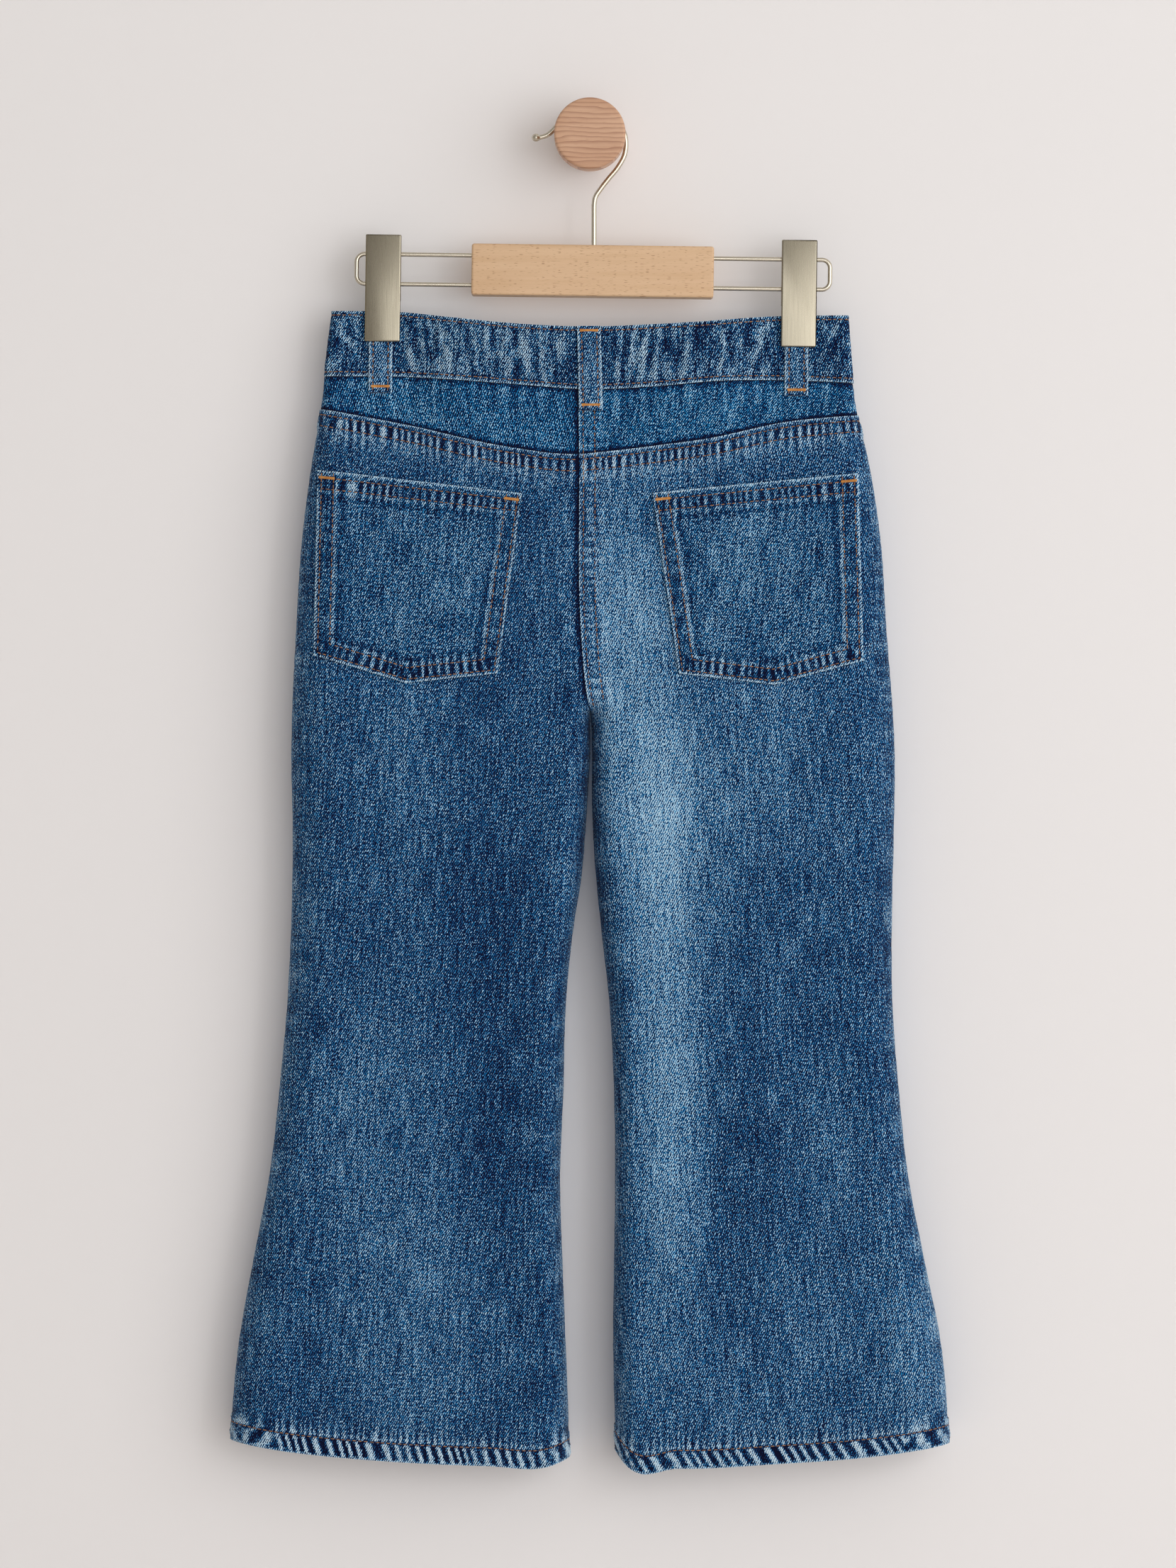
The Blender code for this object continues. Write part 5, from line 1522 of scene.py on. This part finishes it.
shade = g.remap(g.math("ADD", g.math("MULTIPLY", grain, 0.6), g.math("MULTIPLY", rings, 0.4)), 0.36, 0.64)
body = g.mix(shade, inside.outputs["Dark"], inside.outputs["Light"])
body = g.mix(late_wood, body, LATE_WOOD)
wood.links.new(g.mix(fleck, body, FLECK), outside.inputs["Color"])
wood.links.new(g.remap(shade, 0.0, 1.0, 0.62, 0.5), outside.inputs["Roughness"])
wood.links.new(g.math("SUBTRACT", shade, g.math("ADD", fleck, late_wood)), outside.inputs["Height"])


def wood_material(name, light, dark, flecks, rings):
    """Beech with its grain along X, with more or fewer flecks and growth lines."""
    values = {"Light": light, "Dark": dark, "Flecks": flecks, "Rings": rings}
    material, finish, shader = group_material(name, wood, values, 0.15, 0.1)
    tree = material.node_tree
    tree.links.new(tree.nodes.new("ShaderNodeTexCoord").outputs["Object"], finish.inputs["Place"])
    shader.inputs["Coat Weight"].default_value = 0.08
    return material


BAR_BEECH = wood_material("bar_beech", srgb(218, 184, 148), srgb(206, 169, 131), 0.55, 0.0)
PEG_BEECH = wood_material("peg_beech", srgb(212, 172, 142), srgb(192, 148, 118), 0.15, 0.75)
print("wood group nodes:", len(wood.nodes), "for", BAR_BEECH.name, "and", PEG_BEECH.name)

# %% [markdown]
# ## Brushed metal
#
# Nickel-plated steel is a mirror with fine scratches in one direction. The scratches blur the
# reflection across them and leave it sharp along them. The shader's own anisotropy could blur it
# so, but it is even all over. A noise stretched over forty times as long as it is wide gives
# streaks that differ from place to place, for roughness, tone and height.

# %% Metal group and materials
brushed, inside, outside = new_group(
    "brushed_nickel",
    [("Place", "Vector", None), ("Tone", "Color", srgb(200, 192, 176)), ("Roughness", "Float", 0.35)],
    [("Color", "Color"), ("Roughness", "Float"), ("Height", "Float")])
g = Graph(brushed)
place = inside.outputs["Place"]
scratch = g.noise(place, (2600.0, 2600.0, 60.0), detail=2.0)
smudge = g.noise(place, (70.0, 70.0, 40.0), detail=2.0)
brushed.links.new(g.mix(g.remap(scratch, 0.3, 0.7, 0.0, 0.16), inside.outputs["Tone"], srgb(120, 112, 98)),
                  outside.inputs["Color"])
uneven_shine = g.math("ADD", g.centred(scratch, 0.2), g.centred(smudge, 0.12))
brushed.links.new(g.math("ADD", inside.outputs["Roughness"], uneven_shine), outside.inputs["Roughness"])
brushed.links.new(scratch, outside.inputs["Height"])


def metal_material(name, tone, roughness, strength):
    """Brushed nickel with its own tone, blur and depth of scratches."""
    values = {"Tone": tone, "Roughness": roughness}
    material, finish, shader = group_material(name, brushed, values, strength, 0.02)
    tree = material.node_tree
    tree.links.new(tree.nodes.new("ShaderNodeTexCoord").outputs["Object"], finish.inputs["Place"])
    shader.inputs["Metallic"].default_value = 1.0
    return material


CLIP_NICKEL = metal_material("clip_nickel", srgb(152, 145, 129), 0.27, 0.3)
WIRE_NICKEL = metal_material("wire_nickel", srgb(206, 198, 182), 0.26, 0.2)
BUTTON_NICKEL = metal_material("button_nickel", srgb(176, 166, 150), 0.4, 0.3)
print("metal group nodes:", len(brushed.nodes))

# %% [markdown]
# ## Peg and button
#
# Both are turned: a profile of radius against distance is carried round an axis. Blender's Spin
# tool does the same, but arrays give clean poles and faces that all point outwards. The peg has a
# neck on the wall, where the hook hangs, and a wider head with softened edges. The button has a
# shank, a raised rim and a plain, slightly sunk face.

# %% Turned pieces
def lathe(profile, sides):
    """Ring points (cos, depth, sin of the radius) for each profile row, and faces with caps."""
    profile = np.array(profile)
    angle = np.arange(sides) * 2 * math.pi / sides
    depth = np.broadcast_to(profile[:, :1], (len(profile), sides))
    points = np.stack([profile[:, 1:] * np.cos(angle), depth, profile[:, 1:] * np.sin(angle)], axis=-1)
    faces = ring_quads(len(profile), sides).tolist() + end_caps(len(profile), sides)
    rising = profile[-1, 0] > profile[0, 0]
    return points.reshape(-1, 3), [face[::-1] for face in faces] if rising else faces


def round_corner(y, radius, size):
    """Profile rows round a quarter circle with its centre at (y, radius)."""
    angles = np.linspace(0.0, 1.0, 5) * math.pi / 2
    return [(y - size * math.sin(a), radius + size * math.cos(a)) for a in angles]


PEG_NECK, PEG_HEAD, PEG_NECK_LENGTH, PEG_LENGTH = 15.2, 19.6, 34.0, 50.0
peg_profile = [(0.0, PEG_NECK), (-PEG_NECK_LENGTH, PEG_NECK), (-PEG_NECK_LENGTH - 0.1, PEG_HEAD - 1.2)]
peg_profile += [(-PEG_NECK_LENGTH - 0.4, PEG_HEAD - 0.4), (-PEG_NECK_LENGTH - 1.2, PEG_HEAD)]
peg_profile += round_corner(-PEG_LENGTH + 1.5, PEG_HEAD - 1.5, 1.5)
peg_profile += [(-PEG_LENGTH, PEG_HEAD * 0.6), (-PEG_LENGTH, 1.0)]
peg = add_mesh("turned_peg", *lathe(peg_profile, 96), "peg_wood", PEG_BEECH)
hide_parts("wall_peg")

BUTTON_RADIUS, BUTTON_X = 8.5, -16.0
button_profile = [(0.0, 3.4), (1.2, 3.4), (1.3, BUTTON_RADIUS - 0.7), (1.5, BUTTON_RADIUS - 0.2),
                  (1.9, BUTTON_RADIUS), (2.7, BUTTON_RADIUS), (3.2, BUTTON_RADIUS - 0.25),
                  (3.5, BUTTON_RADIUS - 0.8), (3.4, BUTTON_RADIUS - 1.5), (2.9, BUTTON_RADIUS - 2.2),
                  (2.95, BUTTON_RADIUS - 4.5), (3.1, 1.0)]
button_z = float(waist_edge(1, 1)(BUTTON_X) + waist_edge(2, 1)(BUTTON_X)) / 2
low, high = cloth_y(np.full(2, BUTTON_X), button_z + np.array([-5.0, 5.0]), 1, 0.0)
slope = math.atan2(low - high, 10.0)
button_points, button_faces = lathe(button_profile, 48)
turn = np.array([[1, 0, 0], [0, math.cos(slope), math.sin(slope)], [0, -math.sin(slope), math.cos(slope)]])
button_points = button_points @ turn + np.array([BUTTON_X, (low + high) / 2 + BAND_LIFT + 0.6, button_z])
button = add_mesh("waist_button_cap", button_points, button_faces, "button_metal", BUTTON_NICKEL)
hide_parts("waist_button")
print("turned pieces:", len(peg.data.vertices), len(button.data.vertices), "points")

# %% [markdown]
# ## Wire hook and rail
#
# The hook is one round wire, bent over the peg and ending in a small ball. The rail is a closed
# loop of thinner wire through the wooden bar and the clips. A curve object with a bevel would give
# a tube too, but not the ball at its end. Here a tube is a circle carried along a path: at each
# point two directions square to the path give the circle's plane, and each has its own radius.

# %% Tubes
HANGER_TILT, BAR_TOP_Z, HOOK_STEM_X = math.radians(0.75), -59.5, 2.3


def hang(points):
    """Points of the hanger's own frame turned about +Y by its tilt and moved to the bar's top."""
    c, s = math.cos(HANGER_TILT), math.sin(HANGER_TILT)
    x, y, z = points[..., 0], points[..., 1], points[..., 2]
    return np.stack([x * c + z * s + HOOK_STEM_X, y + MIDDLE_Y, z * c - x * s + BAR_TOP_Z], axis=-1)


def tube(path, radii, sides, closed):
    """Circles round a path in the XZ plane: one axis is Y, the other is square to the path."""
    ahead = np.roll(path, -1, axis=0) - np.roll(path, 1, axis=0) if closed else np.gradient(path, axis=0)
    tangent = unit(ahead)
    across = unit(np.cross(tangent, (0.0, 1.0, 0.0)))
    other = np.cross(across, tangent)
    angle = np.arange(sides) * 2 * math.pi / sides
    radii = np.broadcast_to(radii, len(path))
    points = (path[:, None] + radii[:, None, None] * (np.cos(angle)[None, :, None] * across[:, None]
                                                      + np.sin(angle)[None, :, None] * other[:, None]))
    faces = ring_quads(len(path), sides, closed).tolist()
    return points.reshape(-1, 3), faces if closed else faces + end_caps(len(path), sides)


def smooth_path(route, per_span):
    """Cubic curve through route points, with tangents from their neighbours."""
    route = np.array(route, dtype=float)
    tangents = np.gradient(route, axis=0)
    t = np.linspace(0.0, 1.0, per_span, endpoint=False)[None, :, None]
    a, b, ta, tb = route[:-1, None], route[1:, None], tangents[:-1, None], tangents[1:, None]
    inner = ((2 * t**3 - 3 * t**2 + 1) * a + (t**3 - 2 * t**2 + t) * ta + (3 * t**2 - 2 * t**3) * b
             + (t**3 - t**2) * tb)
    return np.concatenate([inner.reshape(-1, 2), route[-1:]])


print("hanger tilt:", round(math.degrees(HANGER_TILT), 2), "degrees")

# %% Build the hook and rail
HOOK_WIRE, HOOK_RADIUS, HOOK_CENTRE, HOOK_BALL = 1.4, 20.3, (-0.3, -3.4), 2.3
HOOK_END = [(-27.6, 0.5), (-23.7, 1.7), (-20.5, 4.3)]
HOOK_NECK = [(10.5, -22.2), (6.0, -28.0), (3.1, -32.5), (2.3, -37.0)]
HOOK_FOOT = 3.2
bend = np.radians(np.linspace(143.5, -40.0, 9))
arc_points = HOOK_CENTRE + HOOK_RADIUS * np.stack([np.cos(bend), np.sin(bend)], axis=-1)
flat = smooth_path(HOOK_END + arc_points.tolist() + HOOK_NECK, 8)
stem = np.array([(HOOK_STEM_X, -48.0), (HOOK_STEM_X, BAR_TOP_Z - HOOK_FOOT)])
ball_angles = np.linspace(0.06, math.pi * 0.72, 9)
ball_x = flat[0][0] - 2.2 - HOOK_BALL * np.cos(ball_angles)
ball = np.stack([ball_x, np.full_like(ball_x, flat[0][1] - 0.1)], axis=-1)
hook_path = np.concatenate([ball, flat, stem])
hook_path = np.stack([hook_path[:, 0], np.full(len(hook_path), MIDDLE_Y), hook_path[:, 1]], axis=-1)
hook_radii = np.concatenate([HOOK_BALL * np.sin(ball_angles), np.full(len(flat) + len(stem), HOOK_WIRE)])
hook = add_mesh("wire_hook", *tube(hook_path, hook_radii, 18, False), "wire", WIRE_NICKEL)
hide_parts("hanger_hook")

RAIL_WIRE, RAIL_CORNER = 1.25, 4.5
RAIL_LEFT, RAIL_RIGHT, RAIL_TOP, RAIL_BOTTOM = -131.05, 130.65, -6.05, -22.5
right, left = RAIL_RIGHT - RAIL_CORNER, RAIL_LEFT + RAIL_CORNER
top, bottom = RAIL_TOP - RAIL_CORNER, RAIL_BOTTOM + RAIL_CORNER
corner_turns = [(right, top), (right, bottom), (left, bottom), (left, top)]
angles = [np.linspace(math.pi / 2, 0.0, 13) - quarter * math.pi / 2 for quarter in range(4)]
rail_path = np.concatenate([
    np.stack([x + RAIL_CORNER * np.cos(a), np.zeros_like(a), z + RAIL_CORNER * np.sin(a)], axis=-1)
    for (x, z), a in zip(corner_turns, angles)])
rail = add_mesh("wire_rail", *tube(hang(rail_path), RAIL_WIRE, 16, True), "wire", WIRE_NICKEL)
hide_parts("hanger_rail")
print("hook and rail:", len(hook.data.polygons), len(rail.data.polygons), "faces")

# %% [markdown]
# ## Bar and clips
#
# A bar with softened edges, and plates with a bevelled rim, are all one idea: a rounded
# rectangle, made smaller step by step as it is carried forwards. A box with a Bevel modifier
# would do too, but its corners and its rim would have one radius, and here they have two. The
# front jaw of each clip is a flat plate with two cheeks that hold the rails, and the rear jaw is a
# plain plate.

# %% Slabs
def rounded_rectangle(low, high, corner):
    """Outline through four quarter circles, as x and z, anticlockwise seen from -Y."""
    quarter = np.linspace(0.0, math.pi / 2, 6)
    parts = []
    for k, (x, z) in enumerate(((high[0] - corner, high[1] - corner), (low[0] + corner, high[1] - corner),
                                (low[0] + corner, low[1] + corner), (high[0] - corner, low[1] + corner))):
        angle = quarter + k * math.pi / 2
        parts.append(np.stack([x + corner * np.cos(angle), z + corner * np.sin(angle)], axis=-1))
    return np.concatenate(parts)


def slab(low, high, corner, rows, lean=0.0):
    """Carry the rectangle along Y: each row is (y, inset, share of the lean across x)."""
    middle = (low[0] + high[0]) / 2
    rings = []
    for y, inset, share in rows:
        x, z = rounded_rectangle((low[0] + inset, low[1] + inset), (high[0] - inset, high[1] - inset),
                                 max(corner - inset, 0.05)).T
        rings.append(np.stack([x, y + share * lean * (x - middle), z], axis=-1))
    sides = len(rings[0])
    faces = ring_quads(len(rows), sides)[:, [0, 3, 2, 1]].tolist()
    faces += [cap[::-1] for cap in end_caps(len(rows), sides)]
    return np.concatenate(rings), faces


def soft_rows(front, back, size, steps=5):
    """Rows of a slab whose front and back rims are rounded: insets on a quarter circle."""
    angle = np.linspace(0.0, math.pi / 2, steps)
    first = [(front + size * (1 - math.sin(a)), size * (1 - math.cos(a)), 1.0) for a in angle[::-1]]
    last = [(back - size * (1 - math.sin(a)), size * (1 - math.cos(a)), 0.0) for a in angle]
    return first + last


def join(*parts):
    """Several point and face lists as one."""
    points, faces, start = [], [], 0
    for part_points, part_faces in parts:
        points.append(part_points)
        faces += [[index + start for index in face] for face in part_faces]
        start += len(part_points)
    return np.concatenate(points), faces


print("points round a rounded rectangle:", len(rounded_rectangle((0.0, 0.0), (4.0, 4.0), 1.0)))

# %% Build the bar and clips
BAR_LENGTH, BAR_HEIGHT, BAR_DEPTH, BAR_EDGE, BAR_SHIFT = 133.7, 28.3, 14.0, 1.3, -0.55
bar_rows = soft_rows(-BAR_DEPTH / 2, BAR_DEPTH / 2, BAR_EDGE)
bar_points, bar_faces = slab((BAR_SHIFT - BAR_LENGTH / 2, -BAR_HEIGHT), (BAR_SHIFT + BAR_LENGTH / 2, 0.0),
                             1.5, bar_rows)
bar = add_mesh("beech_bar", hang(bar_points), bar_faces, "bar_wood", BAR_BEECH)
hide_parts("hanger_bar")

CLIP_LENGTH, CLIP_TOP, CLIP_WALL, CHEEK, CHEEK_LENGTH, CLIP_BEVEL = 59.1, 4.35, 1.2, 1.0, 36.0, 0.8
REAR_WIDTH, REAR_WALL, REAR_DROP, REAR_RISE, CLIP_LEAN = 17.0, 1.0, 4.0, 1.0, 0.05
FRONT_INNER = -(PINCHED_DEPTH + BAND_LIFT + SEAM_GAP + LOOP_WALL + SEAM_GAP)
REAR_INNER = PINCHED_DEPTH + 0.8
front_rows = soft_rows(FRONT_INNER - CLIP_WALL, FRONT_INNER, CLIP_BEVEL, 4)
cheek_rows = soft_rows(FRONT_INNER - 0.2, REAR_INNER - SEAM_GAP, 0.3, 3)
rear_rows = soft_rows(REAR_INNER, REAR_INNER + REAR_WALL, 0.35, 4)
clip_foot = CLIP_TOP - CLIP_LENGTH
for hand, centre, lean in (("left", -113.85, -CLIP_LEAN), ("right", 115.85, CLIP_LEAN)):
    x = centre - HOOK_STEM_X
    low, high = x - CLIP_WIDTH / 2, x + CLIP_WIDTH / 2
    plate = slab((low, clip_foot), (high, CLIP_TOP), 0.8, front_rows, lean)
    cheeks = [slab((start, CLIP_TOP - CHEEK_LENGTH), (start + CHEEK, CLIP_TOP), 0.3, cheek_rows)
              for start in (low, high - CHEEK)]
    rear = slab((x - REAR_WIDTH / 2, clip_foot + REAR_RISE), (x + REAR_WIDTH / 2, CLIP_TOP - REAR_DROP),
                2.5, rear_rows)
    for face, (points, faces) in (("front", join(plate, *cheeks)), ("rear", rear)):
        jaw = add_mesh(f"clip_{hand}_{face}_jaw", hang(points), faces, "clip_metal", CLIP_NICKEL)
        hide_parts(f"clip_{hand}_{face}")
        print(jaw.name, len(faces), "faces")

# %% [markdown]
# ## Sizes of the cut pieces
#
# This list gives each cut piece with how large it was before it was sewn and hung, because its
# hung form no longer shows it. The sizes are what shows, without turnings and hems.

SHEETS = [
    (panels["back_left"], 0.235, 0.585, 0.100), (panels["back_right"], 0.235, 0.585, 0.100),
    (panels["front_left"], 0.235, 0.600, 0.105), (panels["front_right"], 0.235, 0.600, 0.105),
    (yokes["left"], 0.165, 0.045, 0.0052), (yokes["right"], 0.165, 0.040, 0.0048),
    (waistband, 0.660, 0.038, 0.0240),
    (pockets["back_pocket_left"], 0.113, 0.115, 0.0109), (pockets["back_pocket_right"], 0.114, 0.114, 0.0109),
    (placket, 0.034, 0.103, 0.0030)]
SHEETS += [(loops[row[0]], 0.013, 0.045, 0.00057) for row in LOOPS]
print("sheets:", len(SHEETS))

# %% [markdown]
# ## Wall, floor and light
#
# The jeans hang before a pale matt wall. A large soft lamp stands to the front and right, so the
# shadow falls softly to the left, and a broader one nearer the middle lifts it. One lamp alone
# would leave the left side too dark. The world fills the rest, darker on the left. The wall is
# clear from behind and to shadow rays, and a third lamp stands behind it, so that the front of
# the jeans can be looked at too.

# %% Wall and floor
def plain_surface(name, corners, color, see_through):
    """Flat stage piece; where asked, its back and its shadow are clear."""
    mesh = bpy.data.meshes.new(name)
    mesh.from_pydata(corners, [], [(0, 1, 2, 3)])
    item = bpy.data.objects.new(name, mesh)
    bpy.context.scene.collection.objects.link(item)
    material = bpy.data.materials.new(name)
    material.use_nodes = True
    tree = material.node_tree
    shader = tree.nodes["Principled BSDF"]
    shader.inputs["Base Color"].default_value = color
    shader.inputs["Roughness"].default_value = 0.9
    shader.inputs["Specular IOR Level"].default_value = 0.0
    if see_through:
        clear = tree.nodes.new("ShaderNodeBsdfTransparent")
        behind = tree.nodes.new("ShaderNodeNewGeometry").outputs["Backfacing"]
        shadow = tree.nodes.new("ShaderNodeLightPath").outputs["Is Shadow Ray"]
        mixed = tree.nodes.new("ShaderNodeMixShader")
        tree.links.new(Graph(tree).math("MAXIMUM", behind, shadow), mixed.inputs[0])
        tree.links.new(shader.outputs[0], mixed.inputs[1])
        tree.links.new(clear.outputs[0], mixed.inputs[2])
        tree.links.new(mixed.outputs[0], tree.nodes["Material Output"].inputs[0])
    mesh.materials.append(material)


REACH, WALL_Y, WALL_TOP, FLOOR_Z = 4.0, 0.0004, 3.0, -1.1
wall_corners = [(REACH, WALL_Y, WALL_TOP), (-REACH, WALL_Y, WALL_TOP), (-REACH, WALL_Y, FLOOR_Z),
                (REACH, WALL_Y, FLOOR_Z)]
floor_corners = [(-REACH, -REACH, FLOOR_Z), (REACH, -REACH, FLOOR_Z), (REACH, REACH, FLOOR_Z),
                 (-REACH, REACH, FLOOR_Z)]
plain_surface("pale_wall", wall_corners, srgb(237, 235, 236), True)
plain_surface("pale_floor", floor_corners, srgb(222, 216, 212), False)
print("wall and floor reach", REACH, "m to each side")

# %% Lamps and world
def area_lamp(name, place, aim, width, height, power, color=(1.0, 1.0, 1.0)):
    """Rectangular soft lamp at a place, facing an aim point."""
    data = bpy.data.lights.new(name, "AREA")
    data.shape, data.size, data.size_y, data.energy, data.color = "RECTANGLE", width, height, power, color
    item = bpy.data.objects.new(name, data)
    bpy.context.scene.collection.objects.link(item)
    item.location = place
    direction = np.array(aim) - np.array(place)
    turn_x = math.acos(-direction[2] / np.linalg.norm(direction))
    item.rotation_euler = (turn_x, 0.0, math.atan2(direction[1], direction[0]) - math.pi / 2)


COOL = (0.97, 0.985, 1.0)
WORLD_LEFT, WORLD_RIGHT = (0.39, 0.37, 0.345, 1.0), (0.76, 0.725, 0.675, 1.0)
area_lamp("key", (2.3, -2.3, -0.05), (0.0, 0.0, -0.42), 2.3, 2.6, 30.0, COOL)
area_lamp("front", (0.9, -3.4, -0.55), (0.0, 0.0, -0.4), 2.6, 2.8, 40.0, COOL)
area_lamp("behind", (0.6, 2.6, 0.4), (0.0, 0.0, -0.4), 2.4, 2.4, 30.0)

world = bpy.data.worlds.new("studio")
bpy.context.scene.world = world
world.use_nodes = True
sky = Graph(world.node_tree)
direction = world.node_tree.nodes.new("ShaderNodeTexCoord").outputs["Generated"]
split = world.node_tree.nodes.new("ShaderNodeSeparateXYZ")
world.node_tree.links.new(direction, split.inputs[0])
side_tone = sky.mix(sky.remap(split.outputs[0], -0.25, 0.35), WORLD_LEFT, WORLD_RIGHT)
world.node_tree.links.new(side_tone, world.node_tree.nodes["Background"].inputs["Color"])
world.node_tree.nodes["Background"].inputs["Strength"].default_value = 1.0
print("lamps:", [light.name for light in bpy.data.lights])
